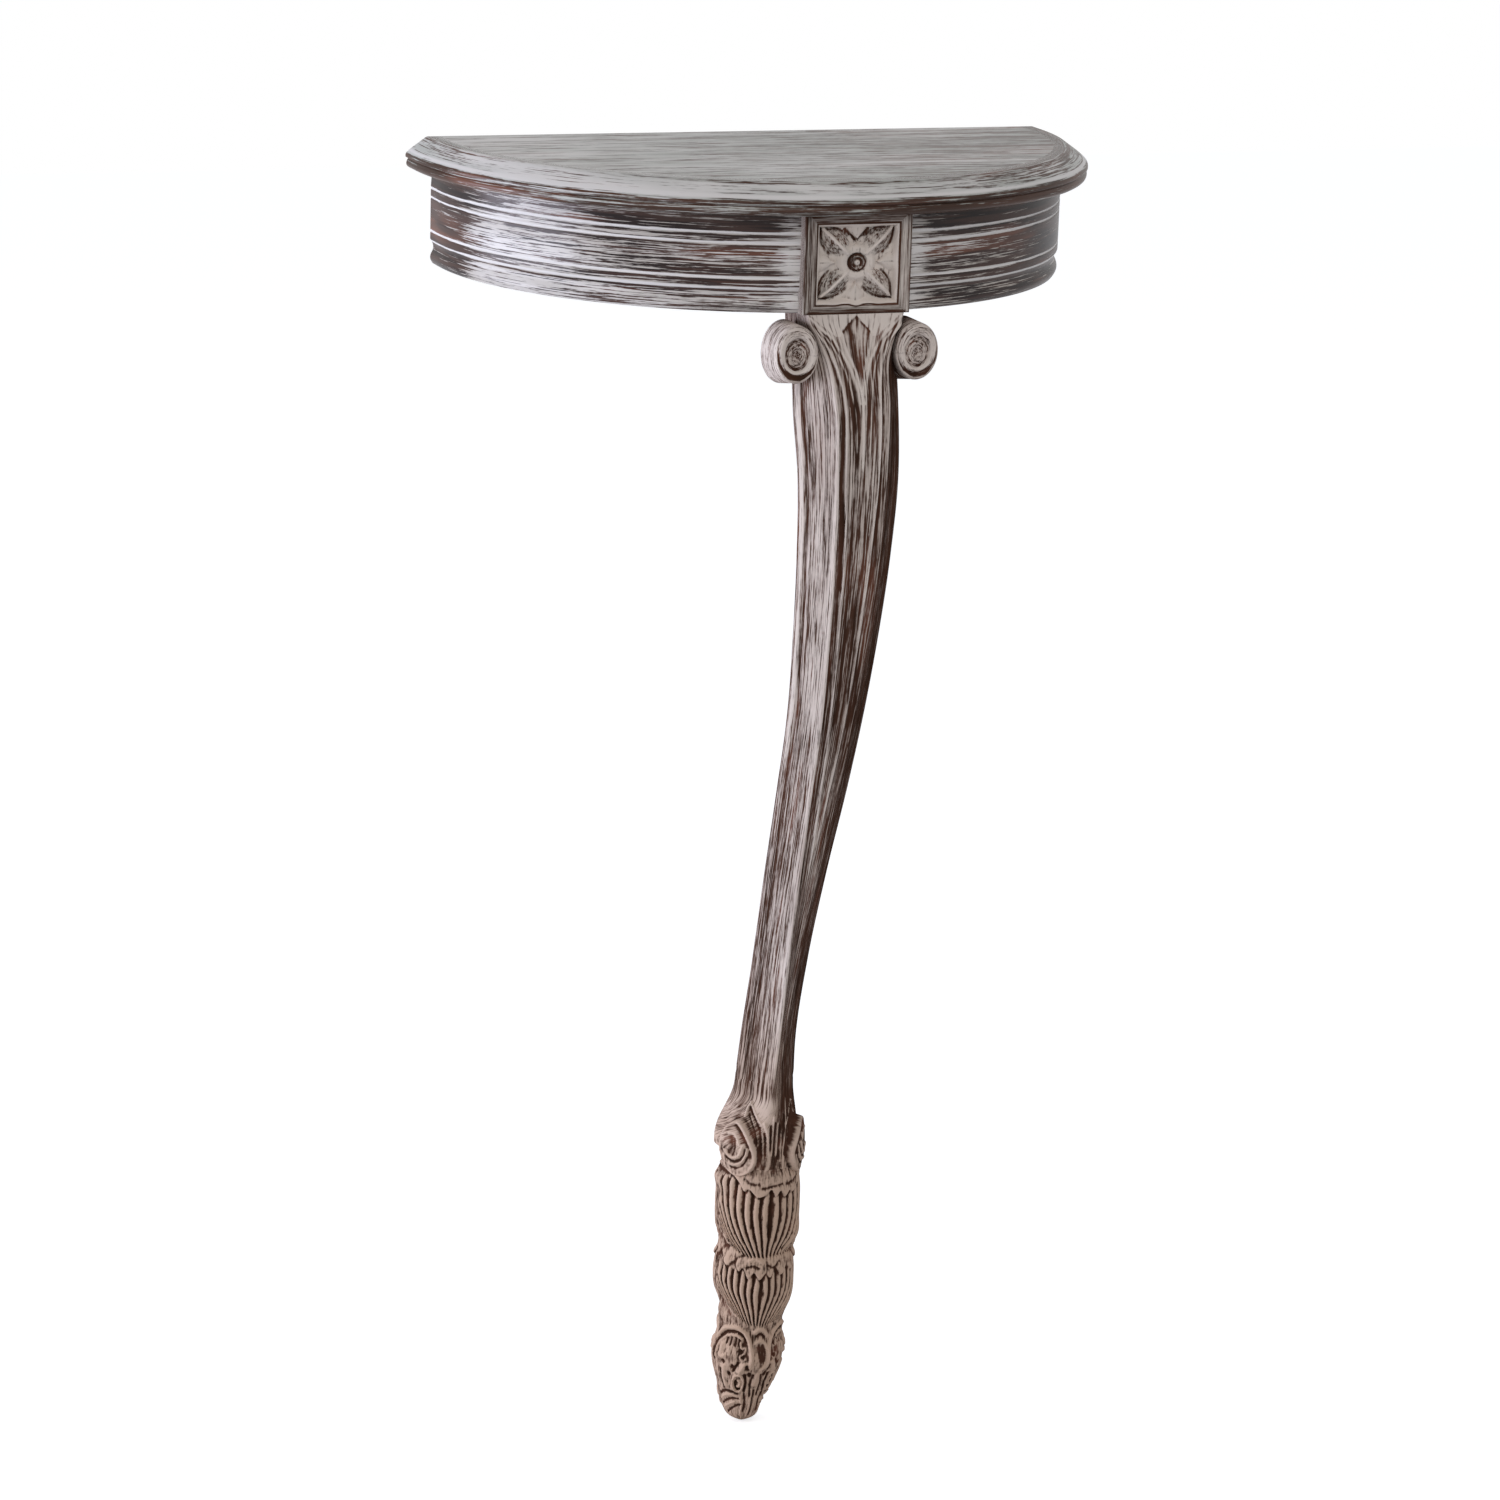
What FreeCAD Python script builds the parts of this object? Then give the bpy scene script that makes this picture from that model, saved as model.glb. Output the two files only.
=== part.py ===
"""Pier table: a half-round wall table on one carved cabriole leg.

Millimetres, +Z up. The origin is the middle of the back rail's wall face, the
wall is the plane Y = 0 and the front of the table faces -Y.
"""
import FreeCAD, Part
import os
import Sketcher
from FreeCAD import Placement, Rotation, Vector

os.makedirs("parts", exist_ok=True)
doc = FreeCAD.newDocument("pier_table")

# ---------------------------------------------------------------- sizes
SIZES = [
    ("top_radius", 235, "half-round plan of the top"),
    ("wall_return", 15, "straight run of the sides at the wall"),
    ("top_thickness", 21, ""),
    ("chamfer_run", 14.5, "sloping edge of the top, inwards"),
    ("chamfer_drop", 10.8, "sloping edge of the top, downwards"),
    ("fascia_drop", 13.2, "lower arris of the edge's upright band"),
    ("quirk_depth", 3, "notch between the band and the bead"),
    ("quirk_drop", 14, ""),
    ("bead_radius", 4.2, "bead under the notch"),
    ("apron_radius", 217, "face of the frieze"),
    ("apron_thickness", 20, ""),
    ("apron_height", 65, ""),
    ("cap_inset", 3, "set-back band under the top"),
    ("cap_height", 8.5, ""),
    ("step_height", 3, "rounded step out to the frieze"),
    ("line_width", 2.4, "incised lines round the frieze"),
    ("line_depth", 1.4, ""),
    ("first_line", 13.8, "lines, measured down from the apron's top"),
    ("second_line", 19.6, ""),
    ("third_line", 42.4, ""),
    ("frieze_height", 48, "down to the cove"),
    ("cove_inset", 2.6, ""),
    ("cove_start", 51.5, ""),
    ("cove_end", 55.5, ""),
    ("foot_bead_start", 58.5, ""),
    ("foot_bead_round", 2, ""),
    ("block_width", 74, "rosette block"),
    ("block_front", 236, "distance of its face from the wall"),
    ("block_depth", 44, ""),
    ("frame_width", 9, "raised border round the rosette"),
    ("recess_depth", 5, ""),
    ("petal_length", 34, "from the middle to the tip"),
    ("petal_root", 4, ""),
    ("petal_radius", 19, "curve of each petal's side"),
    ("petal_height", 3.5, ""),
    ("diagonal_share", 0.7071, "across or up, of a diagonal of length 1"),
    ("boss_radius", 5.5, ""),
    ("boss_height", 5, ""),
    ("rail_thickness", 20, "back rail"),
    ("glue_gap", 0.1, "between the apron's curve and the rail's end"),
    ("spine_width", 40, "rail from the wall rail to the rosette block"),
    ("spine_height", 45, ""),
    ("corner_leg", 42, "triangular glue blocks"),
    ("corner_height", 45, ""),
    ("glue_block_width", 24, "blocks behind the rosette block's cheeks"),
    ("glue_block_height", 50, ""),
    ("glue_block_back", 185, ""),
    ("wall_hole_radius", 3, "screw holes for the wall"),
    ("wall_hole_spacing", 240, ""),
    ("dowel_radius", 4, "dowels of the apron joints"),
    ("dowel_length", 25, ""),
    ("dowel_level", 18, "above and below the middle"),
    ("front_dowel_start", 26, "from the middle plane, in the rosette block"),
    ("front_dowel_setback", 215.5, ""),
    ("back_dowel_start", 183, "from the middle plane, in the back rail"),
    ("big_dowel_radius", 5, "dowels of the spine and of the leg's head"),
    ("spine_dowel_length", 30, ""),
    ("spine_dowel_offset", 11, "from the middle plane"),
    ("spine_front_setback", 207, "start of the dowels into the rosette block"),
    ("spine_back_setback", 38, "start of the dowels into the back rail"),
    ("leg_dowel_length", 50, ""),
    ("leg_dowel_offset", 20, "from the middle plane"),
    ("head_setback", 214, "middle of the leg's head from the wall"),
    ("foot_dowel_radius", 8, ""),
    ("foot_dowel_length", 50, ""),
    ("front_screw_x", 118.7, "places of the screws up into the top"),
    ("front_screw_setback", 184.6, ""),
    ("side_screw_x", 194.5, ""),
    ("side_screw_setback", 85.8, ""),
    ("wall_screw_x", 90, ""),
    ("spine_screw_setback", 100, ""),
    ("screw_radius", 2.2, "wood screws up into the top"),
    ("screw_length", 44, ""),
    ("screw_head_radius", 4.2, ""),
    ("screw_head_height", 3, ""),
    ("counterbore_radius", 5, ""),
    ("counterbore_height", 32.5, ""),
    ("coach_radius", 4, "coach screw through the block into the leg"),
    ("coach_length", 100, ""),
    ("coach_head_radius", 7.5, ""),
    ("coach_head_height", 5.5, ""),
    ("washer_radius", 11, ""),
    ("washer_thickness", 2, ""),
    ("coach_well_radius", 12, ""),
    ("coach_well_depth", 25, ""),
    ("head_width", 67, "square head of the leg"),
    ("head_depth", 44, ""),
    ("head_height", 12.5, ""),
    ("scroll_half_width", 15.5, "volute ears beside the knee"),
    ("scroll_half_height", 19, ""),
    ("scroll_centre", 41.5, "from the middle plane"),
    ("scroll_drop", 57.5, ""),
    ("scroll_front", 241, ""),
    ("scroll_thickness", 27, ""),
    ("eye_radius", 5.5, ""),
    ("eye_height", 3, ""),
    ("volute_half_width", 15, "oval volutes on the ankle's front faces"),
    ("volute_half_height", 20.5, ""),
    ("volute_drop", 638.5, ""),
    ("volute_turn", 58, "degrees round from the front"),
    ("volute_reach", 30, "face of the volute from the ankle's axis"),
    ("volute_thickness", 16, ""),
    ("ankle_setback", 113, "ankle's axis from the wall"),
    ("foot_top", 652, "joint of the foot, below the origin"),
    ("foot_tilt", 5.6, "degrees, the foot leans to the wall"),
    ("foot_overlap", 6, "turned above the joint and sawn off"),
    ("foot_rim", 25, "radius at the joint"),
    ("foot_shoulder", 27, ""),
    ("foot_shoulder_depth", 6, "depths run down the foot's axis"),
    ("bulb_curve", 100, ""),
    ("waist_radius", 24, "between the two gadrooned bulbs"),
    ("waist_depth", 66, ""),
    ("collar_radius", 26, ""),
    ("collar_depth", 70, ""),
    ("lower_bulb_curve", 80, ""),
    ("neck_radius", 20.5, ""),
    ("neck_depth", 128, ""),
    ("bud_shoulder", 22, ""),
    ("bud_shoulder_depth", 130, ""),
    ("bud_curve", 45, ""),
    ("bud_waist", 20.5, ""),
    ("bud_waist_depth", 170, ""),
    ("bud_lower_curve", 41, ""),
    ("bud_end", 10, ""),
    ("bud_end_depth", 201, ""),
    ("tip_curve", 13.5, ""),
    ("foot_length", 205.5, ""),
    ("saw_width", 100, "room sawn off at the joint of leg and foot"),
    ("saw_height", 60, ""),
    ("eye_share", 1.2, "height of a scroll's eye to its width"),
    ("boss_share", 1.001, "height of the rosette's boss to its width"),
]

# Sections of the leg: drop below the origin, then the distance from the wall
# and the half width at the front panel, at the widest arris and at the back.
LEG_SECTIONS = [
    ("knee_root", 45, (238, 28), (219, 33.5), (192, 33)),
    ("knee_top", 60, (243, 20), (219, 35.5), (193, 29)),
    ("knee_swell", 90, (255, 19), (223, 37), (196, 27)),
    ("knee_full", 138, (259, 17), (233, 35.6), (206, 24.5)),
    ("knee_foot", 194, (254, 15.5), (230.5, 33.3), (205, 22.8)),
    ("shaft_high", 250, (243, 13.5), (221.5, 30.6), (198, 20.8)),
    ("shaft_mid", 305, (230, 11.5), (208.5, 27.8), (187, 18.4)),
    ("shaft_low", 360, (211, 9.5), (189.5, 25.9), (167.5, 16.5)),
    ("shaft_bend", 430, (186, 6.5), (162.5, 23), (141.5, 14.2)),
    ("ankle_high", 500, (162, 3.5), (138.5, 20.8), (117.5, 12)),
    ("ankle", 565, (146, 2.5), (120.5, 20.8), (98.5, 12.5)),
    ("ankle_flare", 620, (141, 6), (114.5, 24), (91, 14.5)),
    ("leg_end", 652, (139, 12), (112.5, 26.5), (87, 14.5)),
]
STATION_FIELDS = ("front", "front_half", "side", "side_half", "back", "back_half")


def make_sheet():
    """One spreadsheet holds every driving size under a plain name."""
    sheet = doc.addObject("Spreadsheet::Sheet", "Sizes")
    rows = [(alias, value, note) for alias, value, note in SIZES]
    for station, drop, *pairs in LEG_SECTIONS:
        rows.append((station + "_drop", drop, "leg section"))
        numbers = [number for pair in pairs for number in pair]
        rows += [(station + "_" + field, number, "")
                 for field, number in zip(STATION_FIELDS, numbers)]
    for row, (alias, value, note) in enumerate(rows, start=1):
        sheet.set("A%d" % row, alias)
        sheet.set("B%d" % row, str(value))
        sheet.setAlias("B%d" % row, alias)
        if note:
            sheet.set("C%d" % row, note)
    doc.recompute()
    return sheet


sheet = make_sheet()


def cells(expression):
    """Write the sheet's name before each of its aliases in an expression."""
    words = expression.replace("(", " ( ").replace(")", " ) ").split()
    return " ".join("Sizes." + word if word[0].isalpha() else word for word in words)


def amount(expression):
    """Value of an expression of the sheet's aliases, in mm."""
    return float(sheet.evalExpression(cells(expression)))


# ---------------------------------------------------------------- helpers
def bind(thing, **expressions):
    """Bind properties to the sheet; a double underscore stands for a dot."""
    for name, expression in expressions.items():
        thing.setExpression(name.replace("__", "."), cells(expression))


def place(thing, x, y, z):
    bind(thing, Placement__Base__x=x, Placement__Base__y=y, Placement__Base__z=z)


def box(name, size, corner):
    solid = doc.addObject("Part::Box", name)
    bind(solid, Length=size[0], Width=size[1], Height=size[2])
    place(solid, *corner)
    return solid


TURNS = {
    "+z": Rotation(),
    "-z": Rotation(Vector(1, 0, 0), 180),
    "+x": Rotation(Vector(0, 1, 0), 90),
    "+y": Rotation(Vector(1, 0, 0), -90),
}


def rod(name, radius, length, start, along="+z"):
    """A round bar from its start point along one of the axes."""
    solid = doc.addObject("Part::Cylinder", name)
    bind(solid, Radius=radius, Height=length)
    solid.Placement = Placement(Vector(), TURNS[along])
    place(solid, *start)
    return solid


def cone(name, foot_radius, top_radius, height, start, along="+z"):
    solid = doc.addObject("Part::Cone", name)
    bind(solid, Radius1=foot_radius, Radius2=top_radius, Height=height)
    solid.Placement = Placement(Vector(), TURNS[along])
    place(solid, *start)
    return solid


def fuse(name, shapes):
    joined = doc.addObject("Part::MultiFuse", name)
    joined.Shapes = shapes
    return joined


def group(name, shapes):
    """Separate solids kept in one node."""
    together = doc.addObject("Part::Compound", name)
    together.Links = shapes
    return together


def cut(name, base, tools):
    """The base with the room for its fastenings taken out."""
    result = doc.addObject("Part::Cut", name)
    result.Base = base
    result.Tool = tools[0] if len(tools) == 1 else fuse(name + "_room", tools)
    return result


def common(name, first, second):
    result = doc.addObject("Part::Common", name)
    result.Base = first
    result.Tool = second
    return result


def mirror(name, source):
    """The left-hand piece from the right-hand one."""
    result = doc.addObject("Part::Mirroring", name)
    result.Source = source
    result.Normal = Vector(1, 0, 0)
    return result


def origin_plane(body, role):
    return next(part for part in body.Origin.OriginFeatures if part.Role == role)


def sketch_on(body, name, role, offset="0", turn=0):
    """An empty sketch on one of the body's own planes, raised by an offset."""
    sketch = body.newObject("Sketcher::SketchObject", name)
    sketch.AttachmentSupport = [(origin_plane(body, role), "")]
    sketch.MapMode = "FlatFace"
    sketch.AttachmentOffset = Placement(Vector(), Rotation(Vector(0, 1, 0), turn))
    if offset != "0":
        bind(sketch, AttachmentOffset__Base__z=offset)
    return sketch


def arc_between(start, end, radius):
    """The short anticlockwise arc of a given radius from start to end."""
    chord = end - start
    middle = (start + end) * 0.5
    rise = (radius ** 2 - (chord.Length / 2) ** 2) ** 0.5
    across = Vector(-chord.y, chord.x, 0).normalize()
    centre = middle + across * rise
    return Part.ArcOfCircle(Part.Circle(centre, Vector(0, 0, 1), radius),
                            *[Vector(1, 0, 0).getAngle(point - centre)
                              * (1 if (point - centre).y >= 0 else -1)
                              for point in (start, end)])


def outline(sketch, points):
    """A closed outline, anticlockwise. Each point is an (x, y) pair of
    expressions; a third entry is the radius of the arc that leaves it."""
    corners = [Vector(amount(point[0]), amount(point[1]), 0) for point in points]
    edges = []
    for index, point in enumerate(points):
        start, end = corners[index], corners[(index + 1) % len(points)]
        if len(point) == 3:
            edges.append(sketch.addGeometry(arc_between(start, end, amount(point[2]))))
        else:
            edges.append(sketch.addGeometry(Part.LineSegment(start, end)))
    for index, edge in enumerate(edges):
        following = edges[(index + 1) % len(edges)]
        sketch.addConstraint(Sketcher.Constraint("Coincident", edge, 2, following, 1))
    for edge, corner, point in zip(edges, corners, points):
        for kind, value, expression in (("DistanceX", corner.x, point[0]),
                                        ("DistanceY", corner.y, point[1])):
            pin = sketch.addConstraint(
                Sketcher.Constraint(kind, -1, 1, edge, 1, value))
            sketch.setExpression("Constraints[%d]" % pin, cells(expression))
        if len(point) == 3:
            curve = sketch.addConstraint(
                Sketcher.Constraint("Radius", edge, amount(point[2])))
            sketch.setExpression("Constraints[%d]" % curve, cells(point[2]))
    return sketch


def ellipse_outline(sketch, centre, half_width, half_height):
    """An upright ellipse with its middle and both half axes bound."""
    middle = Vector(amount(centre[0]), amount(centre[1]), 0)
    top = middle + Vector(0, amount(half_height), 0)
    side = middle + Vector(amount(half_width), 0, 0)
    if amount(half_height) >= amount(half_width):
        curve = Part.Ellipse(top, side, middle)
    else:
        curve = Part.Ellipse(side, top, middle)
    edge = sketch.addGeometry(curve)
    sketch.exposeInternalGeometry(edge)
    for kind, expression in (("DistanceX", centre[0]), ("DistanceY", centre[1])):
        pin = sketch.addConstraint(
            Sketcher.Constraint(kind, -1, 1, edge, 3, amount(expression)))
        sketch.setExpression("Constraints[%d]" % pin, cells(expression))
    return sketch


def pad(body, name, sketch, length, reversed_=False):
    feature = body.newObject("PartDesign::Pad", name)
    feature.Profile = sketch
    feature.Reversed = reversed_
    bind(feature, Length=length)
    return feature


def revolve(body, name, sketch, angle, reversed_=False):
    """Turn a sketch about its own upright axis."""
    feature = body.newObject("PartDesign::Revolution", name)
    feature.Profile = sketch
    feature.ReferenceAxis = (sketch, ["V_Axis"])
    feature.Angle = angle
    feature.Reversed = reversed_
    return feature


APRON_TOP = "apron_height / 2"
APRON_FOOT = "0 - apron_height / 2"


# ---------------------------------------------------------------- fastenings
def make_dowels():
    """Every dowel is also the tool that bores its own hole."""
    front, back = [], []
    for side, start in (("right", "%s"), ("left", "0 - %s - dowel_length")):
        for height, level in (("upper", "dowel_level"), ("lower", "0 - dowel_level")):
            name = "%s_%s" % (side, height)
            front.append(rod("front_dowel_" + name, "dowel_radius", "dowel_length",
                             (start % "front_dowel_start", "0 - front_dowel_setback",
                              level), "+x"))
            back.append(rod("back_dowel_" + name, "dowel_radius", "dowel_length",
                            (start % "back_dowel_start", "0 - rail_thickness / 2",
                             level), "+x"))
    spine, leg = [], []
    for side, sign in (("right", ""), ("left", "0 - ")):
        for end in ("front", "back"):
            spine.append(rod("spine_dowel_%s_%s" % (end, side), "big_dowel_radius",
                             "spine_dowel_length",
                             (sign + "spine_dowel_offset",
                              "0 - spine_%s_setback" % end, "0"), "+y"))
        leg.append(rod("leg_dowel_" + side, "big_dowel_radius", "leg_dowel_length",
                       (sign + "leg_dowel_offset", "0 - head_setback",
                        "0 - apron_height / 2 - leg_dowel_length / 2")))
    foot = rod("foot_dowel", "foot_dowel_radius", "foot_dowel_length",
               ("0", "0 - ankle_setback", "0 - foot_top - foot_dowel_length / 2"))
    return (group("apron_front_dowels", front), group("apron_back_dowels", back),
            group("spine_dowels", spine), group("leg_dowels", leg), foot)


def wood_screw(name, x, y):
    """A countersunk screw that points up: flat head below, then the shank."""
    seat = "0 - apron_height / 2 + counterbore_height"
    head = cone(name + "_head", "screw_head_radius", "screw_radius",
                "screw_head_height", (x, y, seat))
    shank = rod(name + "_shank", "screw_radius", "screw_length", (x, y, seat))
    return fuse(name, [head, shank])


# Where the screws pass up through the rails, as (x, y).
TOP_SCREWS = {
    "screw_front_left": ("0 - front_screw_x", "0 - front_screw_setback"),
    "screw_front_right": ("front_screw_x", "0 - front_screw_setback"),
    "screw_side_left": ("0 - side_screw_x", "0 - side_screw_setback"),
    "screw_side_right": ("side_screw_x", "0 - side_screw_setback"),
    "screw_wall_left": ("0 - wall_screw_x", "0 - rail_thickness / 2"),
    "screw_wall_right": ("wall_screw_x", "0 - rail_thickness / 2"),
    "screw_spine": ("0", "0 - spine_screw_setback"),
}


def make_screws():
    screws = [wood_screw(name, x, y) for name, (x, y) in TOP_SCREWS.items()]
    wells = [rod(name + "_well", "counterbore_radius", "counterbore_height",
                 (x, y, APRON_FOOT)) for name, (x, y) in TOP_SCREWS.items()]
    return group("top_screws", screws), group("screw_wells", wells)


def make_coach_screw():
    """A hexagon-headed screw that draws the leg up to the rosette block."""
    seat = "apron_height / 2 - coach_well_depth"
    washer_top = seat + " + washer_thickness"
    shank = rod("coach_shank", "coach_radius", "coach_length",
                ("0", "0 - head_setback", washer_top + " - coach_length"))
    head = doc.addObject("Part::Prism", "coach_head")
    head.Polygon = 6
    bind(head, Circumradius="coach_head_radius", Height="coach_head_height")
    place(head, "0", "0 - head_setback", washer_top)
    screw = fuse("leg_coach_screw", [head, shank])
    disc = rod("washer_disc", "washer_radius", "washer_thickness", ("0", "0 - head_setback", seat))
    washer = cut("leg_washer", disc, [shank])
    well = rod("coach_well", "coach_well_radius", "coach_well_depth", ("0", "0 - head_setback", seat))
    return screw, washer, well


front_dowels, back_dowels, spine_dowels, leg_dowels, foot_dowel = make_dowels()
top_screws, screw_wells = make_screws()
coach_screw, washer, coach_well = make_coach_screw()


# ---------------------------------------------------------------- the top
def make_table_top():
    """Half-round board: the edge profile turned half round, then carried
    straight back to the wall on both sides."""
    body = doc.addObject("PartDesign::Body", "top_board")
    ceiling = APRON_TOP + " + top_thickness"
    profile = [
        ("0", APRON_TOP),
        ("top_radius - quirk_depth", APRON_TOP, "bead_radius"),
        ("top_radius - quirk_depth", ceiling + " - quirk_drop"),
        ("top_radius", ceiling + " - fascia_drop"),
        ("top_radius", ceiling + " - chamfer_drop"),
        ("top_radius - chamfer_run", ceiling),
        ("0", ceiling),
    ]
    turned = outline(sketch_on(body, "edge_profile", "XZ_Plane", "wall_return"), profile)
    revolve(body, "half_round", turned, 180, reversed_=True)
    carried = outline(sketch_on(body, "return_profile", "XZ_Plane", "wall_return"), profile)
    straight = pad(body, "return_right", carried, "wall_return", reversed_=True)
    doc.recompute()
    both = body.newObject("PartDesign::Mirrored", "returns")
    both.Originals = [straight]
    both.MirrorPlane = (origin_plane(body, "YZ_Plane"), [""])
    body.Tip = both
    return cut("table_top", body, [top_screws])


# ---------------------------------------------------------------- the apron
def make_apron():
    """A quarter ring with the frieze's moulding, butted on the rosette block."""
    body = doc.addObject("PartDesign::Body", "apron_bend")
    top = APRON_TOP
    points = [
        ("apron_radius - apron_thickness", APRON_FOOT),
        ("apron_radius - line_depth", APRON_FOOT),
        ("apron_radius", APRON_FOOT + " + foot_bead_round"),
        ("apron_radius", top + " - foot_bead_start"),
        ("apron_radius - cove_inset", top + " - cove_end"),
        ("apron_radius - cove_inset", top + " - cove_start"),
        ("apron_radius", top + " - frieze_height"),
    ]
    for line in ("third_line", "second_line", "first_line"):
        points += [
            ("apron_radius", "%s - %s - line_width / 2" % (top, line)),
            ("apron_radius - line_depth", "%s - %s" % (top, line)),
            ("apron_radius", "%s - %s + line_width / 2" % (top, line)),
        ]
    points += [
        ("apron_radius", top + " - cap_height - step_height", "step_height"),
        ("apron_radius - cap_inset", top + " - cap_height"),
        ("apron_radius - cap_inset", top),
        ("apron_radius - apron_thickness", top),
    ]
    turned = outline(sketch_on(body, "frieze_profile", "XZ_Plane", "wall_return"), points)
    revolve(body, "bend", turned, 90, reversed_=True)
    carried = outline(sketch_on(body, "tail_profile", "XZ_Plane", "wall_return"), points)
    body.Tip = pad(body, "tail", carried, "wall_return", reversed_=True)
    return body


def make_block_blank():
    return box("block_blank", ("block_width", "block_depth", "apron_height"),
               ("0 - block_width / 2", "0 - block_front", APRON_FOOT))


def make_aprons():
    bend = make_apron()
    blank = make_block_blank()
    right = cut("apron_right", bend,
                [blank, front_dowels, back_dowels, top_screws, screw_wells])
    return right, mirror("apron_left", right)


# ---------------------------------------------------------------- the block
def make_rosette_block():
    """Square block with a raised border round a four-petalled flower."""
    body = doc.addObject("PartDesign::Body", "rosette_carving")
    half = "block_width / 2"
    face = outline(sketch_on(body, "block_face", "XZ_Plane", "block_front - block_depth"), [
        ("0 - " + half, APRON_FOOT), (half, APRON_FOOT),
        (half, APRON_TOP), ("0 - " + half, APRON_TOP)])
    pad(body, "block", face, "block_depth")
    doc.recompute()
    solid = body.Shape.Volume

    inner, upper = half + " - frame_width", APRON_TOP + " - frame_width / 2"
    hollow = outline(sketch_on(body, "recess_face", "XZ_Plane", "block_front"), [
        ("0 - block_width / 2 + frame_width", "0 - apron_height / 2 + frame_width / 2"),
        (inner, "0 - apron_height / 2 + frame_width / 2"),
        (inner, upper),
        ("0 - block_width / 2 + frame_width", upper)])
    recess = body.newObject("PartDesign::Pocket", "recess")
    recess.Profile = hollow
    bind(recess, Length="recess_depth")
    doc.recompute()
    if body.Shape.Volume >= solid:
        raise RuntimeError("the recess cuts nothing")

    floor = "block_front - recess_depth"
    vein = sketch_on(body, "petal_face", "XZ_Plane", floor)
    root, tip = "petal_root * diagonal_share", "petal_length * diagonal_share"
    outline(vein, [(root, root, "petal_radius"), (tip, tip, "petal_radius")])
    petal = pad(body, "petal", vein, "petal_height")
    doc.recompute()
    petals = body.newObject("PartDesign::PolarPattern", "petals")
    petals.Originals = [petal]
    petals.Axis = (sketch_on(body, "flower_axis", "XZ_Plane", floor), ["N_Axis"])
    petals.Angle = 360
    petals.Occurrences = 4
    body.Tip = petals
    doc.recompute()
    boss = ellipse_outline(sketch_on(body, "boss_face", "XZ_Plane", floor),
                           ("0", "0"), "boss_radius", "boss_radius * boss_share")
    body.Tip = pad(body, "boss", boss, "boss_height")
    return cut("rosette_block", body,
               [front_dowels, spine_dowels, leg_dowels, coach_screw, coach_well])


# ---------------------------------------------------------------- rails, blocks
def make_back_rail():
    """Wall rail between the apron's ends, with the two wall screw holes."""
    length = "2 * (apron_radius - apron_thickness - glue_gap)"
    stock = box("back_rail_stock", (length, "rail_thickness", "apron_height"),
                ("0 - apron_radius + apron_thickness + glue_gap",
                 "0 - rail_thickness", APRON_FOOT))
    holes = [rod("wall_hole_" + name, "wall_hole_radius", "rail_thickness + 2",
                 (x, "-1 - rail_thickness", "0"), "+y")
             for name, x in (("left", "0 - wall_hole_spacing / 2"),
                             ("right", "wall_hole_spacing / 2"))]
    return cut("back_rail", stock,
               holes + [back_dowels, spine_dowels, top_screws, screw_wells])


def make_spine_rail():
    stock = box("spine_rail_stock",
                ("spine_width", "block_front - block_depth - rail_thickness",
                 "spine_height"),
                ("0 - spine_width / 2", "block_depth - block_front",
                 "apron_height / 2 - spine_height"))
    return cut("spine_rail", stock, [spine_dowels, top_screws, screw_wells])


def make_apron_core():
    """The round space inside the apron, which trims the blocks to its curve."""
    return rod("apron_core", "apron_radius - apron_thickness", "apron_height",
               ("0", "0 - wall_return", APRON_FOOT))


def make_corner_block(core):
    """Triangular block rubbed into the corner of apron and wall rail."""
    body = doc.addObject("PartDesign::Body", "corner_prism")
    corner = "apron_radius - apron_thickness"
    triangle = outline(sketch_on(body, "triangle", "XY_Plane", "0 - corner_height / 2"), [
        (corner, "0 - rail_thickness - corner_leg"),
        (corner, "0 - rail_thickness"),
        (corner + " - corner_leg", "0 - rail_thickness")])
    pad(body, "prism", triangle, "corner_height")
    right = common("corner_block_right", body, core)
    return right, mirror("corner_block_left", right)


def make_glue_block(core):
    """Block behind the joint of the apron and the rosette block's cheek."""
    stock = box("glue_stock",
                ("glue_block_width", "block_front - glue_block_back", "glue_block_height"),
                ("block_width / 2", "0 - block_front", "0 - glue_block_height / 2"))
    right = common("front_glue_block_right", stock, core)
    return right, mirror("front_glue_block_left", right)


# ---------------------------------------------------------------- the leg
def section_outline(sketch, station):
    """Six-cornered section: narrow front panel, wide side arrises, flat back."""
    def pair(place_name, sign):
        return ("%s%s_%s_half" % (sign, station, place_name),
                "0 - %s_%s" % (station, place_name))
    outline(sketch, [pair("front", "0 - "), pair("front", ""), pair("side", ""),
                     pair("back", ""), pair("back", "0 - "), pair("side", "0 - ")])
    return sketch


def make_leg():
    """Cabriole leg: square head, lofted shaft, volutes left on the ankle."""
    body = doc.addObject("PartDesign::Body", "leg_carving")
    half, front = "head_width / 2", "0 - block_front"
    head = outline(sketch_on(body, "head_section", "XY_Plane", APRON_FOOT), [
        ("0 - " + half, front), (half, front),
        (half, "head_depth - block_front"), ("0 - " + half, "head_depth - block_front")])
    pad(body, "head", head, "head_height", reversed_=True)
    sections = [section_outline(sketch_on(body, station + "_section", "XY_Plane",
                                          "0 - %s_drop" % station), station)
                for station, *_ in LEG_SECTIONS]
    shaft = body.newObject("PartDesign::AdditiveLoft", "shaft")
    shaft.Profile = sections[0]
    shaft.Sections = sections[1:]
    body.Tip = shaft
    return body


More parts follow.
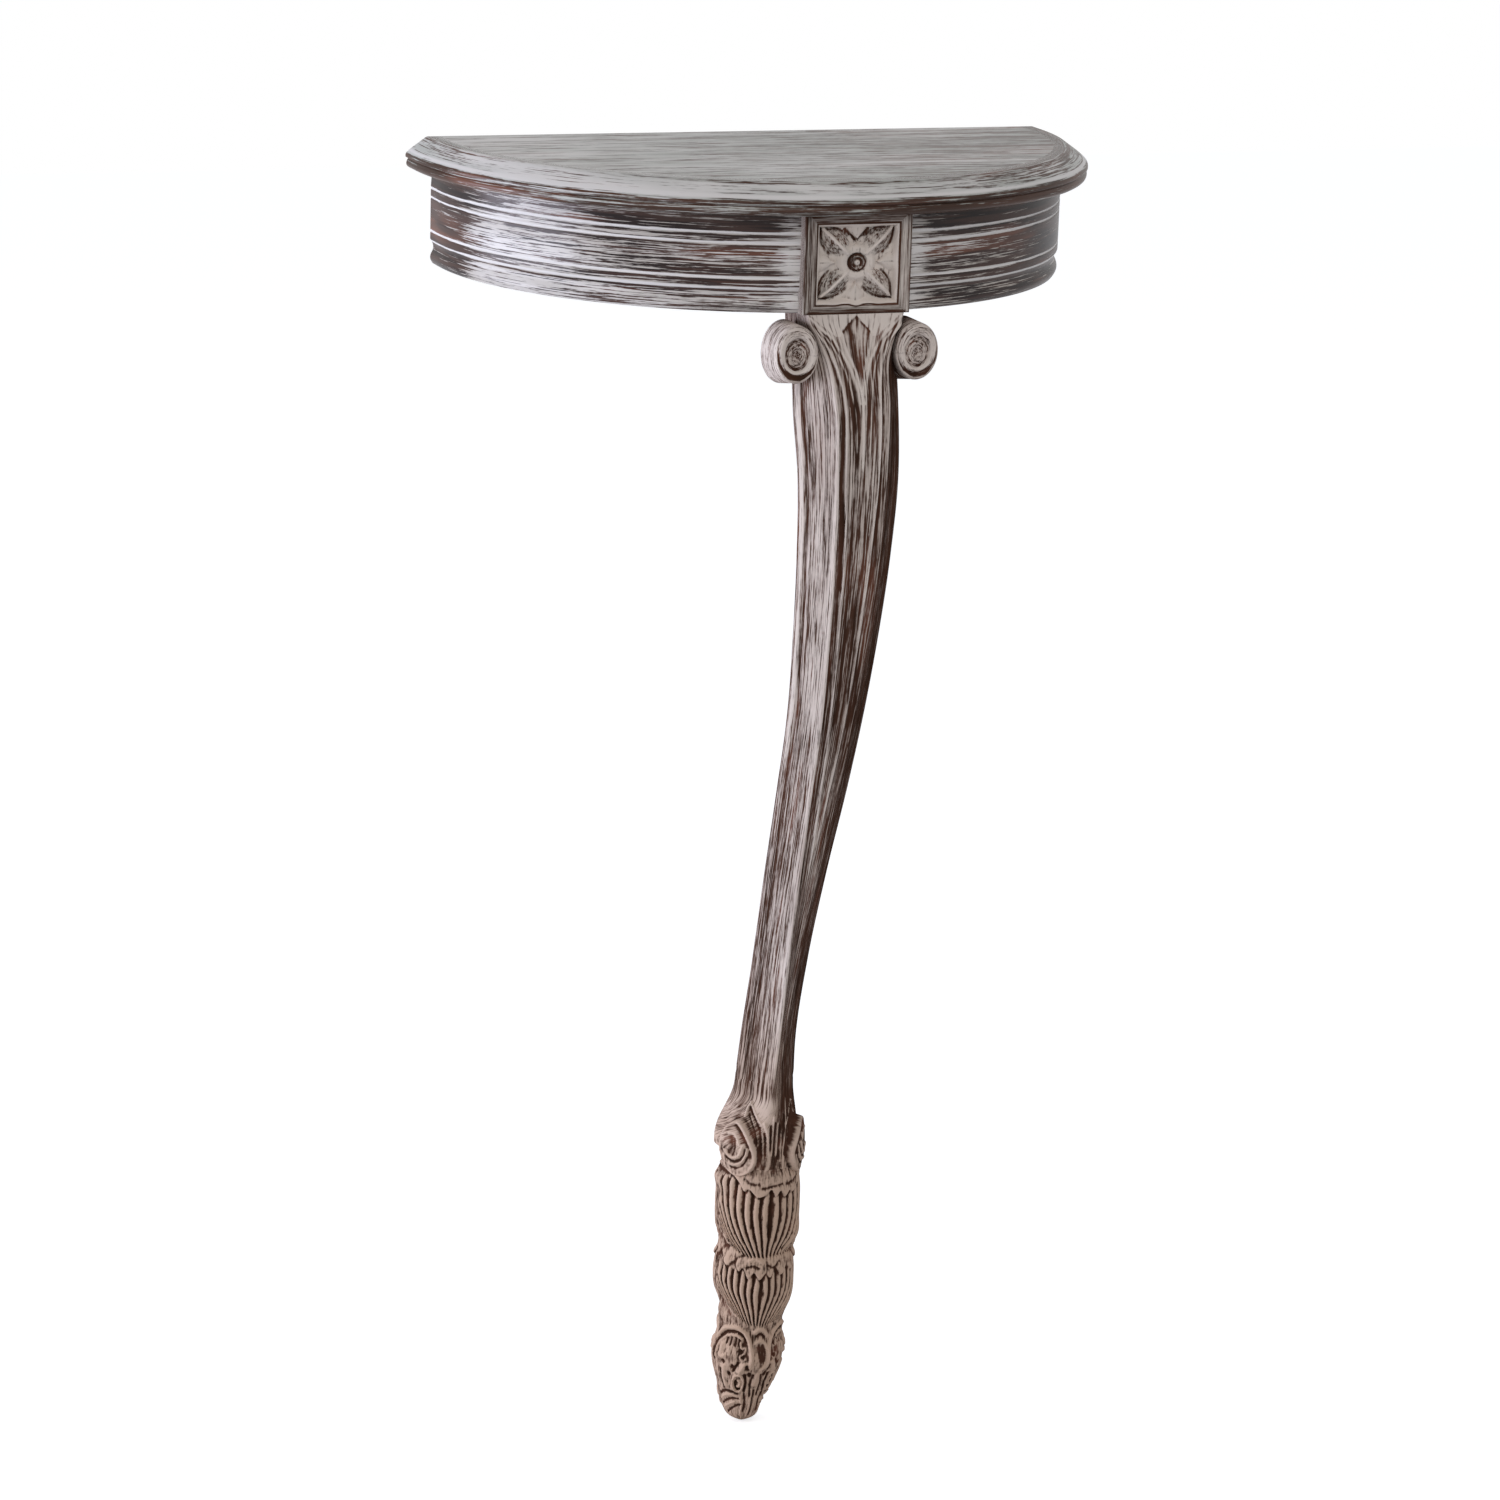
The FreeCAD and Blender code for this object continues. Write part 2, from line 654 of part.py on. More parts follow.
def make_volutes():
    """Two oval bosses on the front faces of the ankle, one each side."""
    bosses = []
    for name, sign in (("left", "0 - "), ("right", "")):
        body = doc.addObject("PartDesign::Body", "volute_" + name)
        face = ellipse_outline(
            sketch_on(body, "oval_" + name, "XZ_Plane", "volute_reach - volute_thickness"),
            ("0", "0"), "volute_half_width", "volute_half_height")
        pad(body, "oval_pad_" + name, face, "volute_thickness")
        body.Placement = Placement(Vector(), Rotation(Vector(0, 0, 1), 1))
        bind(body, Placement__Rotation__Angle=sign + "volute_turn")
        place(body, "0", "0 - ankle_setback", "0 - volute_drop")
        bosses.append(body)
    return bosses


def make_scroll(leg):
    """Volute ear glued beside the knee, fitted to the leg's cheek."""
    body = doc.addObject("PartDesign::Body", "scroll_carving")
    face = ellipse_outline(
        sketch_on(body, "scroll_face", "XZ_Plane", "scroll_front - scroll_thickness"),
        ("scroll_centre", "0 - scroll_drop"), "scroll_half_width", "scroll_half_height")
    pad(body, "scroll_disc", face, "scroll_thickness")
    eye = ellipse_outline(
        sketch_on(body, "eye_face", "XZ_Plane", "scroll_front"),
        ("scroll_centre", "0 - scroll_drop"), "eye_radius", "eye_radius * eye_share")
    pad(body, "scroll_eye", eye, "eye_height")
    right = cut("scroll_right", body, [leg])
    return right, mirror("scroll_left", right)


# ---------------------------------------------------------------- the foot
def make_foot():
    """Turned and carved foot: two bulbs and a bud on one leaning axis."""
    body = doc.addObject("PartDesign::Body", "foot_turning")
    profile = outline(sketch_on(body, "foot_profile", "XZ_Plane"), [
        ("0", "0 - foot_length", "tip_curve"),
        ("bud_end", "0 - bud_end_depth", "bud_lower_curve"),
        ("bud_waist", "0 - bud_waist_depth", "bud_curve"),
        ("bud_shoulder", "0 - bud_shoulder_depth"),
        ("neck_radius", "0 - neck_depth", "lower_bulb_curve"),
        ("collar_radius", "0 - collar_depth"),
        ("waist_radius", "0 - waist_depth", "bulb_curve"),
        ("foot_shoulder", "0 - foot_shoulder_depth"),
        ("foot_rim", "foot_overlap"),
        ("0", "foot_overlap")])
    revolve(body, "turning", profile, 360)
    body.Placement = Placement(Vector(), Rotation(Vector(1, 0, 0), 1))
    bind(body, Placement__Rotation__Angle="foot_tilt")
    place(body, "0", "0 - ankle_setback", "0 - foot_top")
    above = box("foot_saw_cut", ("saw_width", "saw_width", "saw_height"),
                ("0 - saw_width / 2", "0 - saw_width / 2 - ankle_setback", "0 - foot_top"))
    return cut("foot", body, [above, foot_dowel])


def make_all():
    core = make_apron_core()
    carving = make_leg()
    below = box("ankle_saw_cut", ("saw_width", "saw_width", "saw_height"),
                ("0 - saw_width / 2", "0 - saw_width / 2 - ankle_setback",
                 "0 - foot_top - saw_height"))
    whole_leg = fuse("leg_blank", [carving] + make_volutes())
    leg = cut("leg", whole_leg, [below, leg_dowels, coach_screw, foot_dowel])
    pieces = [make_table_top(), *make_aprons(), make_rosette_block(), make_back_rail(),
              make_spine_rail(), *make_corner_block(core), *make_glue_block(core),
              leg, *make_scroll(whole_leg), make_foot()]
    pieces += [front_dowels, back_dowels, spine_dowels, leg_dowels, foot_dowel,
               top_screws, coach_screw, washer]
    return pieces


nodes = make_all()
doc.recompute()

# ---------------------------------------------------------------- check, write
for thing in doc.Objects:
    if {"Invalid", "Error"} & set(thing.State):
        raise RuntimeError("%s failed: %s" % (thing.Label, thing.State))
labels = [node.Label for node in nodes]
if len(set(labels)) != len(labels):
    raise RuntimeError("two nodes share a name")
for node in nodes:
    shape = node.Shape
    if shape.isNull() or not shape.isValid() or not shape.Solids:
        raise RuntimeError("%s has no sound shape" % node.Label)
for node in nodes:
    node.Shape.exportStep("parts/%s.step" % node.Label)
    print("%-24s %2d solid(s) %10.0f mm3" % (node.Label, len(node.Shape.Solids),
                                            node.Shape.Volume))
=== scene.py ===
import math

import bmesh
import bpy
import numpy as np
from bpy.props import FloatProperty, FloatVectorProperty, PointerProperty
from mathutils import Matrix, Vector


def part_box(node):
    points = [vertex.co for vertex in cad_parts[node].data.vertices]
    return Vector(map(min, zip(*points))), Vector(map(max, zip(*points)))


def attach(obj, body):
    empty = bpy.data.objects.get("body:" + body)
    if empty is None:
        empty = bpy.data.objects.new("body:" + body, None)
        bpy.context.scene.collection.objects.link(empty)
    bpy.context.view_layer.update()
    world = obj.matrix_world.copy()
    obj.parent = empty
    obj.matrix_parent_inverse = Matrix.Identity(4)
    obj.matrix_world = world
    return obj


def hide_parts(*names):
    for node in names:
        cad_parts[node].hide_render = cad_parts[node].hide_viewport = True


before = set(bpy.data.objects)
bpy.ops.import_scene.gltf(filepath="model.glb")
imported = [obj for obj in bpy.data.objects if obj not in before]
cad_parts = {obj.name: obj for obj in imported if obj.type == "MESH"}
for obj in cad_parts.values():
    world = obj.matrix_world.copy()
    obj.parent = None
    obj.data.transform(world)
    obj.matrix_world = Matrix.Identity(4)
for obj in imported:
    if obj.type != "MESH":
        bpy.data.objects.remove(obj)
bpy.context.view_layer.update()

bl_info = {
    "name": "Pier table",
    "version": (1, 0, 0),
    "blender": (4, 5, 0),
    "location": "3D View > Sidebar > Pier table",
    "description": "Half-round limed wall table on one carved cabriole leg",
    "category": "Object",
}

MM = 0.001
TOP_LOW, TOP_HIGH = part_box("table_top")
APRON_LOW, APRON_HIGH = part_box("apron_right")
BLOCK_LOW, BLOCK_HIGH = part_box("rosette_block")
FOOT_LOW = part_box("foot")[0]


def linear(code):
    """An sRGB hex colour as linear red, green and blue."""
    value = np.array([int(code[i:i + 2], 16) for i in (1, 3, 5)]) / 255
    return tuple(np.where(value <= 0.04045, value / 12.92, ((value + 0.055) / 1.055) ** 2.4))


def darker(paint, share):
    """A linear colour at a share of its brightness."""
    return tuple(share * value for value in paint)


def length(name, description, default):
    """A size in metres for the user to set."""
    return FloatProperty(name=name, description=description, default=default,
                         unit="LENGTH", subtype="DISTANCE", precision=4)


def colour(name, description, code):
    """A colour for the user to set, from its sRGB hex code."""
    return FloatVectorProperty(name=name, description=description, default=linear(code),
                               subtype="COLOR", size=3, min=0, max=1)


class TableSizes(bpy.types.PropertyGroup):
    """Sizes of the table's pieces."""
    top_radius: length("Top radius", "Half-round plan of the top", TOP_HIGH.x)
    wall_return: length("Wall return", "Straight run of the sides at the wall", 15 * MM)
    chamfer_run: length("Chamfer run", "Sloping edge of the top, inwards", 14.5 * MM)
    chamfer_drop: length("Chamfer drop", "Sloping edge of the top, downwards", 10.8 * MM)
    apron_radius: length("Apron radius", "Face of the frieze", APRON_HIGH.x)
    apron_thickness: length("Apron thickness", "Bent board of the apron", 20 * MM)
    line_depth: length("Line depth", "Incised lines round the frieze", 0.6 * MM)
    frame_width: length("Frame width", "Raised border of the rosette block", 8.8 * MM)
    recess_depth: length("Recess depth", "Floor of the rosette below its border", 5 * MM)
    petal_length: length("Petal length", "From the rosette's middle to a tip", 35 * MM)
    petal_half_width: length("Petal half width", "Widest half width of a petal", 7.6 * MM)
    bead_height: length("Bead height", "Beads carved down the leg's front", 1.0 * MM)
    gadroon_depth: length("Gadroon depth", "Grooves between the foot's ribs", 2.2 * MM)


class TableFinish(bpy.types.PropertyGroup):
    """Colours of the limed and the plain wood."""
    # Painted shade: the colour that the deepest hollows and cuts are darkened to.
    pit_shade: colour("Pit", "Deepest hollows of the carving", "#432c20")
    dark_wood: colour("Dark wood", "Darkest bands of the stained mahogany", "#241a19")
    leg_dark: colour("Leg dark", "Darkest bands of the leg's wood", "#3a281f")
    brown_wood: colour("Brown wood", "Stained mahogany of the frieze", "#46332d")
    leg_wood: colour("Leg wood", "Browner mahogany of the leg", "#4d3429")
    red_wood: colour("Red wood", "Redder streaks", "#6b4638")
    lime: colour("Lime", "White lime wax in the grain", "#e4e0dd")
    grey_lime: colour("Grey lime", "Thin lime wax on flat wood", "#b9b1a8")
    leg_lime: colour("Leg lime", "Thin lime wax on the leg", "#b8a79d")
    top_lime: colour("Top lime", "Thin lime wax on the top", "#b4b6af")
    cream_lime: colour("Cream lime", "Thicker lime wax on the leg", "#e6dad0")
    beige_lime: colour("Beige lime", "Lime wax yellowed near the floor", "#cbae98")
    plain_wood: colour("Plain wood", "Unfinished rails and blocks", "#9a7050")
    beech: colour("Beech", "Dowels", "#c9a27c")
    zinc: colour("Zinc", "Plated steel of the screws", "#a9a9a6")


# ------------------------------------------------------------------ curves
def curve(at, knots, values):
    """Cubic through the knots, whose slope at a knot is its neighbours' chord."""
    knots = np.asarray(knots, float)
    values = np.asarray(values, float)
    slopes = np.gradient(values, knots)
    span = np.clip(np.searchsorted(knots, at) - 1, 0, len(knots) - 2)
    step = knots[span + 1] - knots[span]
    t = np.clip((at - knots[span]) / step, 0, 1)
    return ((1 + 2 * t) * (1 - t) ** 2 * values[span]
            + t * (1 - t) ** 2 * step * slopes[span]
            + t ** 2 * (3 - 2 * t) * values[span + 1]
            + t ** 2 * (t - 1) * step * slopes[span + 1])


def ramp(value, low, high):
    """0 below low, 1 above high and an S-shaped rise between."""
    t = np.clip((value - low) / (high - low), 0, 1)
    return t * t * (3 - 2 * t)


def fade(value, low, high):
    """1 below low, 0 above high and an S-shaped fall between."""
    return 1 - ramp(value, low, high)


def between(value, first, second, third, fourth):
    """Rises from 0 to 1 over the first two places and falls back over the last two."""
    return ramp(value, first, second) * fade(value, third, fourth)


def bell(distance, width):
    """1 at no distance, falling off as a Gaussian of the given half width."""
    return np.exp(-(distance / width) ** 2)


def length_along(path):
    """Length from a path's first point to each of its points."""
    return np.concatenate([[0], np.cumsum(np.linalg.norm(np.diff(path, axis=0), axis=-1))])


def stacked(*parts):
    """Points from their coordinates, each of which is spread over the same grid."""
    return np.stack(np.broadcast_arrays(*parts), axis=-1)


def round_corners(corners, step, most=0.49, arc_points=7):
    """A polyline with rounded corners. Each corner is (a, b, radius): its arc is
    a quadratic curve that starts and ends one radius away, or most of a side
    away where that is less. Long runs are divided into steps, and gaps under a
    nanometre are left out."""
    points = []
    total = len(corners)
    for index, (a, b, radius) in enumerate(corners):
        here = np.array([a, b])
        if index in (0, total - 1) or radius == 0:
            points.append(here[None])
            continue
        before = np.array(corners[index - 1][:2]) - here
        after = np.array(corners[index + 1][:2]) - here
        before *= min(radius / np.linalg.norm(before), most)
        after *= min(radius / np.linalg.norm(after), most)
        t = np.linspace(0, 1, arc_points)[:, None]
        points.append(here + (1 - t) ** 2 * before + t ** 2 * after)
    points = np.concatenate(points)
    along = length_along(points)
    stops = [np.linspace(start, end, max(2, int((end - start) / step) + 2))[:-1]
             for start, end in zip(along, along[1:]) if end - start > 1e-9]
    at = np.concatenate(stops + [along[-1:]])
    return stacked(*(np.interp(at, along, values) for values in points.T))


def blur(grid, rows, columns, wrap=False):
    """Moving average of a grid over a window, once along each direction."""
    for axis, reach in ((0, rows), (1, columns)):
        mode = "wrap" if wrap and axis == 1 else "edge"
        pads = [(reach, reach) if k == axis else (0, 0) for k in (0, 1)]
        windows = np.lib.stride_tricks.sliding_window_view(
            np.pad(grid, pads, mode=mode), 2 * reach + 1, axis=axis)
        grid = windows.mean(axis=-1)
    return grid


def thread(path):
    """Smooth curve through a path's points, six steps from one to the next."""
    path = np.asarray(path, float)
    at = np.linspace(0, len(path) - 1, (len(path) - 1) * 6 + 1)
    return stacked(*(curve(at, np.arange(len(path)), values) for values in path.T))


def stroke(u, v, path, half_width):
    """1 on the curve through the path's points and a Gaussian of the distance
    from it, so a short path makes a dot and a long one a line. It is worked out
    only within three half widths, past which nothing is left of it."""
    line = thread(path)
    low, high = line.min(axis=0) - 3 * half_width, line.max(axis=0) + 3 * half_width
    near = (u > low[0]) & (u < high[0]) & (v > low[1]) & (v < high[1])
    place = stacked(u[near], v[near])[:, None]
    start, run = line[:-1], np.diff(line, axis=0)
    t = np.clip(np.sum((place - start) * run, axis=-1) / np.sum(run * run, axis=-1), 0, 1)
    gap = np.sum((place - start - t[..., None] * run) ** 2, axis=-1).min(axis=1)
    mark = np.zeros_like(u)
    mark[near] = np.exp(-gap / half_width ** 2)
    return mark


def carve(u, v, strokes, scale=1.0):
    """Sum of strokes as relief and wash. Each stroke is (path, half width, rise,
    wash) in mm, and its path's first coordinate is multiplied by the scale. A
    cut's negative wash darkens it as painted shade."""
    relief, wash = np.zeros_like(u), np.zeros_like(u)
    for path, half_width, rise, lime in strokes:
        mark = stroke(u, v, [(a * scale, b) for a, b in path], half_width)
        relief += rise * mark
        wash += lime * mark
    return relief, wash


def surface_normals(points):
    """Unit normals of a grid of points, from its differences both ways."""
    across = np.cross(np.gradient(points, axis=0), np.gradient(points, axis=1))
    return across / np.maximum(np.linalg.norm(across, axis=-1), 1e-12)[..., None]


# ------------------------------------------------------------------ meshes
def patch(points, grain, wash=0.0):
    """A grid of points with its grain coordinates (along, across, depth, in
    metres) and its wash: above 0 more lime lies there, below 0 darker wood, and
    far below 0 the painted shade of a pit."""
    shape = points.shape[:2]
    return points, np.broadcast_to(grain, points.shape), np.broadcast_to(wash, shape)


MERGE_PER_METRE = 1e6                   # points within a micrometre become one


def make_piece(name, patches, caps=(), sharp=38):
    """One closed mesh from grids and flat end caps. Points that coincide are
    merged, quads with merged corners become triangles, and edges that bend more
    than the sharp angle, in degrees, stay crisp."""
    points = [p.reshape(-1, 3) for p, _, _ in patches] + [c[0] for c in caps]
    grain = [g.reshape(-1, 3) for _, g, _ in patches] + [c[1] for c in caps]
    wash = [w.reshape(-1) for _, _, w in patches] + [np.full(len(c[0]), c[2]) for c in caps]
    keys = np.round(np.concatenate(points) * MERGE_PER_METRE).astype(np.int64)
    _, first, place = np.unique(keys, axis=0, return_index=True, return_inverse=True)
    place = place.reshape(-1)
    loops, sizes, start = [], [], 0
    for grid, _, _ in patches:
        rows, columns = grid.shape[:2]
        index = start + np.arange(rows * columns).reshape(rows, columns)
        quads = place[np.stack([index[:-1, :-1], index[:-1, 1:],
                                index[1:, 1:], index[1:, :-1]], axis=-1).reshape(-1, 4)]
        distinct = quads != np.roll(quads, 1, axis=1)
        whole = distinct.sum(axis=1) > 2
        loops.append(quads[whole][distinct[whole]])
        sizes.append(distinct[whole].sum(axis=1))
        start += rows * columns
    for loop, _, _ in caps:
        ring = place[start:start + len(loop)]
        ring = ring[ring != np.roll(ring, 1)]
        loops.append(ring)
        sizes.append(np.array([len(ring)]))
        start += len(loop)
    loops, sizes = np.concatenate(loops), np.concatenate(sizes)
    mesh = bpy.data.meshes.new(name)
    mesh.vertices.add(len(first))
    mesh.vertices.foreach_set("co", np.concatenate(points)[first].astype(np.float32).ravel())
    mesh.loops.add(len(loops))
    mesh.loops.foreach_set("vertex_index", loops.astype(np.int32))
    mesh.polygons.add(len(sizes))
    starts = np.concatenate([[0], np.cumsum(sizes)[:-1]])
    mesh.polygons.foreach_set("loop_start", starts.astype(np.int32))
    mesh.update(calc_edges=True)
    put_attribute(mesh, "grain", "FLOAT_VECTOR", np.concatenate(grain)[first])
    put_attribute(mesh, "wash", "FLOAT", np.concatenate(wash)[first])
    face_outwards(mesh)
    mesh.shade_smooth()
    mesh.set_sharp_from_angle(angle=math.radians(sharp))
    piece = bpy.data.objects.new(name, mesh)
    bpy.context.scene.collection.objects.link(piece)
    return piece


def put_attribute(mesh, name, kind, values):
    """Store one number or vector for each vertex."""
    layer = mesh.attributes.new(name, kind, "POINT")
    key = "vector" if kind == "FLOAT_VECTOR" else "value"
    layer.data.foreach_set(key, values.astype(np.float32).ravel())


def face_outwards(mesh):
    """Turn the faces of a closed mesh to point out of it."""
    work = bmesh.new()
    work.from_mesh(mesh)
    bmesh.ops.recalc_face_normals(work, faces=work.faces)
    work.to_mesh(mesh)
    work.free()


def dress(piece, material, nodes):
    """Give a piece its material and its body, and hide the CAD nodes that it stands for."""
    piece.data.materials.append(material)
    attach(piece, "root")
    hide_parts(*nodes)


# ------------------------------------------------------------------ materials
def add_node(tree, kind, settings=None, inputs=None, links=None):
    """Add a shader node, set its properties and inputs, and link its inputs."""
    node = tree.nodes.new(kind)
    for key, value in (settings or {}).items():
        setattr(node, key, value)
    for key, value in (inputs or {}).items():
        node.inputs[key].default_value = value
    for key, source in (links or {}).items():
        tree.links.new(source, node.inputs[key])
    return node


def new_material(name):
    """A material with only its output: the material, its tree and the surface's socket."""
    material = bpy.data.materials.get(name) or bpy.data.materials.new(name)
    material.use_nodes = True
    tree = material.node_tree
    tree.nodes.clear()
    return material, tree, add_node(tree, "ShaderNodeOutputMaterial").inputs["Surface"]


def streaks(tree, coordinates, along, across, detail):
    """Noise drawn out along the grain: marks as long and as wide as given, in mm."""
    stretched = add_node(tree, "ShaderNodeVectorMath", {"operation": "MULTIPLY"},
                         {1: (1000 / along, 1000 / across, 1000 / across)},
                         {0: coordinates})
    return add_node(tree, "ShaderNodeTexNoise", {},
                    {"Scale": 1.0, "Detail": detail, "Roughness": 0.6},
                    {"Vector": stretched.outputs[0]}).outputs["Fac"]


def weighted_sum(tree, terms, offset=0.0):
    """offset + the sum of weight times value."""
    total = None
    for value, weight in terms:
        node = add_node(tree, "ShaderNodeMath", {"operation": "MULTIPLY_ADD"},
                        {1: weight, 2: offset}, {0: value})
        if total is not None:
            tree.links.new(total, node.inputs[2])
        total = node.outputs[0]
    return total


SMOOTH_STEP = {"interpolation_type": "SMOOTHSTEP"}


def layered(tree, ground, layers):
    """Colours laid over a ground in turn, each a socket or a linear colour. A
    layer is (colour, value, low, high, most): it covers nothing where the value
    is below low, the share called most where it is above high, with an S-shaped
    rise between."""
    for paint, value, low, high, most in layers:
        share = add_node(tree, "ShaderNodeMapRange", SMOOTH_STEP,
                         {"From Min": low, "From Max": high, "To Max": most}, {"Value": value})
        mix = add_node(tree, "ShaderNodeMix", {"data_type": "RGBA"}, {}, {0: share.outputs[0]})
        for index, shade in ((6, ground), (7, paint)):
            if isinstance(shade, bpy.types.NodeSocket):
                tree.links.new(shade, mix.inputs[index])
            else:
                mix.inputs[index].default_value = (*shade, 1)
        ground = mix.outputs[2]
    return ground


# Marks in limed wood: length along the grain and width in mm, the noise's detail
# and how strongly they break up the lime.
LIME_MARKS = {"broad": (150, 2.6, 2, 0.4), "fine": (60, 1.2, 2, 1.7), "hair": (26, 0.65, 1, 1.5),
              "patches": (130, 20, 2, 0.2), "broken": (6, 1.6, 2, 0.5)}
FIGURE = (110, 5, 3)                    # the wood's own bands, in the same way


def limed_mahogany(name, cover, soft, gloss, woods, limes, yellowed=None, streaky=1.0):
    """Stained mahogany with lime wax brushed along the grain and wiped back.

    The eye sees dark brown wood under broken white streaks 0.7 to 2 mm wide and
    up to a hand long, white lines where the wax stays in grooves, bare brown
    where hands and edges have worn it off, and the soft sheen of the wax. The
    finest pores are drawn about twice as coarse as they are, so that they show.
    Cover is how much wax there is. Soft is how gradually it thins out: low on
    the frieze, where it is wiped off hard, high on the leg. Streaky is how
    strongly it breaks up into streaks. Yellowed is (colour, height, height): the
    wax turns to that colour between the two heights and lies more evenly below,
    as it does on the carving. Woods are the dark, brown, red and pit shade colours,
    limes the thin wax's and the thick wax's. Where the wash is far below 0 the
    wood is darkened to the pit shade colour: painted shade in hollows and cuts.
    """
    material, tree, output = new_material(name)
    grain = add_node(tree, "ShaderNodeAttribute", {"attribute_name": "grain"}).outputs["Vector"]
    wash = add_node(tree, "ShaderNodeAttribute", {"attribute_name": "wash"}).outputs["Fac"]
    marks = {kind: streaks(tree, grain, *size[:3]) for kind, size in LIME_MARKS.items()}
    figure = streaks(tree, grain, *FIGURE)
    fine, patches = marks["fine"], marks["patches"]
    broken_up = weighted_sum(tree, [(marks[kind], size[3] * streaky)
                                    for kind, size in LIME_MARKS.items()], -2.15 * streaky)
    dark, brown, red, pit_shade = woods
    reddish = weighted_sum(tree, [(figure, -0.6), (patches, 1.0)], 0.3)
    # Painted shade: where the wash is far below 0 the wood turns to the pit shade colour.
    hollow = weighted_sum(tree, [(wash, -1.0)])
    wood = layered(tree, dark, [(brown, figure, 0.4, 0.6, 1), (red, reddish, 0.5, 0.75, 1),
                                (pit_shade, hollow, 0.7, 2.0, 1)])
    thick = weighted_sum(tree, [(patches, 1.0), (wash, 0.3)])
    lime = layered(tree, limes[0], [(limes[1], thick, 0.25, 0.85, 1)])
    if yellowed:
        old_wax, start, end = yellowed
        place = add_node(tree, "ShaderNodeTexCoord").outputs["Object"]
        level = add_node(tree, "ShaderNodeSeparateXYZ", {}, {}, {0: place}).outputs["Z"]
        evened = add_node(tree, "ShaderNodeMapRange", SMOOTH_STEP,
                          {"From Min": -620 * MM, "From Max": -560 * MM, "To Min": 0.6},
                          {"Value": level}).outputs[0]
        broken_up = add_node(tree, "ShaderNodeMath", {"operation": "MULTIPLY"}, {},
                             {0: broken_up, 1: evened}).outputs[0]
        lime = layered(tree, old_wax, [(lime, level, end, start, 1)])
    wax = weighted_sum(tree, [(broken_up, 1.0), (wash, 0.55)], cover)
    thin, full = 0.5 - soft, 0.5 + soft
    surface = layered(tree, wood, [(lime, wax, thin, full, 0.92)])
    covered = add_node(tree, "ShaderNodeMapRange", SMOOTH_STEP,
                       {"From Min": thin, "From Max": full}, {"Value": wax}).outputs[0]
    height = weighted_sum(tree, [(marks["broad"], 0.5), (fine, 0.7), (covered, 0.3)])
    bump = add_node(tree, "ShaderNodeBump", {}, {"Strength": 0.5, "Distance": 0.25 * MM},
                    {"Height": height})
    rough = weighted_sum(tree, [(covered, 0.16), (fine, 0.12)], 0.38)
    shader = add_node(tree, "ShaderNodeBsdfPrincipled", {},
                      {"IOR": 1.45, "Specular IOR Level": 0.1 * gloss, "Coat Weight": gloss,
                       "Coat Roughness": 0.22},
                      {"Base Color": surface, "Roughness": rough, "Normal": bump.outputs[0]})
    tree.links.new(shader.outputs[0], output)
    return material


def plain_timber(name, pale, darkening, ring, roughness):
    """Sawn and planed wood with no finish: growth rings of the given width in mm
    along X, pale and darkened in turn, and fine pores."""
    material, tree, output = new_material(name)
    place = add_node(tree, "ShaderNodeTexCoord").outputs["Object"]
    rings = streaks(tree, place, 160, ring, 3)
    pores = streaks(tree, place, 9, 0.6, 2)
    tone = weighted_sum(tree, [(rings, 0.8), (pores, 0.3)])
    surface = layered(tree, darker(pale, darkening), [(pale, tone, 0.4, 0.75, 1)])
    bump = add_node(tree, "ShaderNodeBump", {}, {"Strength": 0.3, "Distance": 0.2 * MM},
                    {"Height": tone})
    shader = add_node(tree, "ShaderNodeBsdfPrincipled", {}, {"Roughness": roughness, "IOR": 1.5},
                      {"Base Color": surface, "Normal": bump.outputs[0]})
    tree.links.new(shader.outputs[0], output)
    return material


def zinc_plate(finish):
    """Zinc-plated steel: bright grey with a faint mottled bloom and soft gloss."""
    material, tree, output = new_material("zinc_plated_steel")
    place = add_node(tree, "ShaderNodeTexCoord").outputs["Object"]
    bloom = add_node(tree, "ShaderNodeTexNoise", {}, {"Scale": 900.0, "Detail": 2.0},
                     {"Vector": place}).outputs["Fac"]
    surface = add_node(tree, "ShaderNodeMix", {"data_type": "RGBA"},
                       {6: (*darker(finish.zinc, 0.7), 1), 7: (*finish.zinc, 1)}, {0: bloom})
    rough = weighted_sum(tree, [(bloom, 0.25)], 0.22)
    shader = add_node(tree, "ShaderNodeBsdfPrincipled", {}, {"Metallic": 1.0},
                      {"Base Color": surface.outputs[2], "Roughness": rough})
    tree.links.new(shader.outputs[0], output)
    return material


# ------------------------------------------------------------------ the top
def ring_points(radii, heights, wall_return, arc_columns, wall_columns=5):
    """Half-round rings, one row for each radius and height: straight in from the
    wall, a half circle round (0, -return), and straight back to the wall."""
    straight = np.linspace(0, 1, wall_columns)
    turn = np.linspace(0, np.pi, arc_columns)
    cosines = np.concatenate([np.ones(wall_columns), np.cos(turn), -np.ones(wall_columns)])
    sines = np.concatenate([np.zeros(wall_columns), np.sin(turn), np.zeros(wall_columns)])
    back = np.concatenate([straight, np.ones(arc_columns), straight[::-1]]) * wall_return
    x = radii[:, None] * cosines
    y = -back - radii[:, None] * sines
    return stacked(x, y, heights[:, None])


def arc_grain(points, profile, radius, wall_return):
    """Grain that runs round the half circle: the length round it, then the
    place up the moulding and its depth."""
    angle = np.arctan2(-points[..., 1] - wall_return, points[..., 0])
    run = angle * radius
    wall = np.maximum(points[..., 1] + wall_return, 0)
    run = np.where(points[..., 1] > -wall_return,
                   np.where(points[..., 0] > 0, -wall, np.pi * radius + wall), run)
    return stacked(run, profile[:, None, 1], profile[:, None, 0])


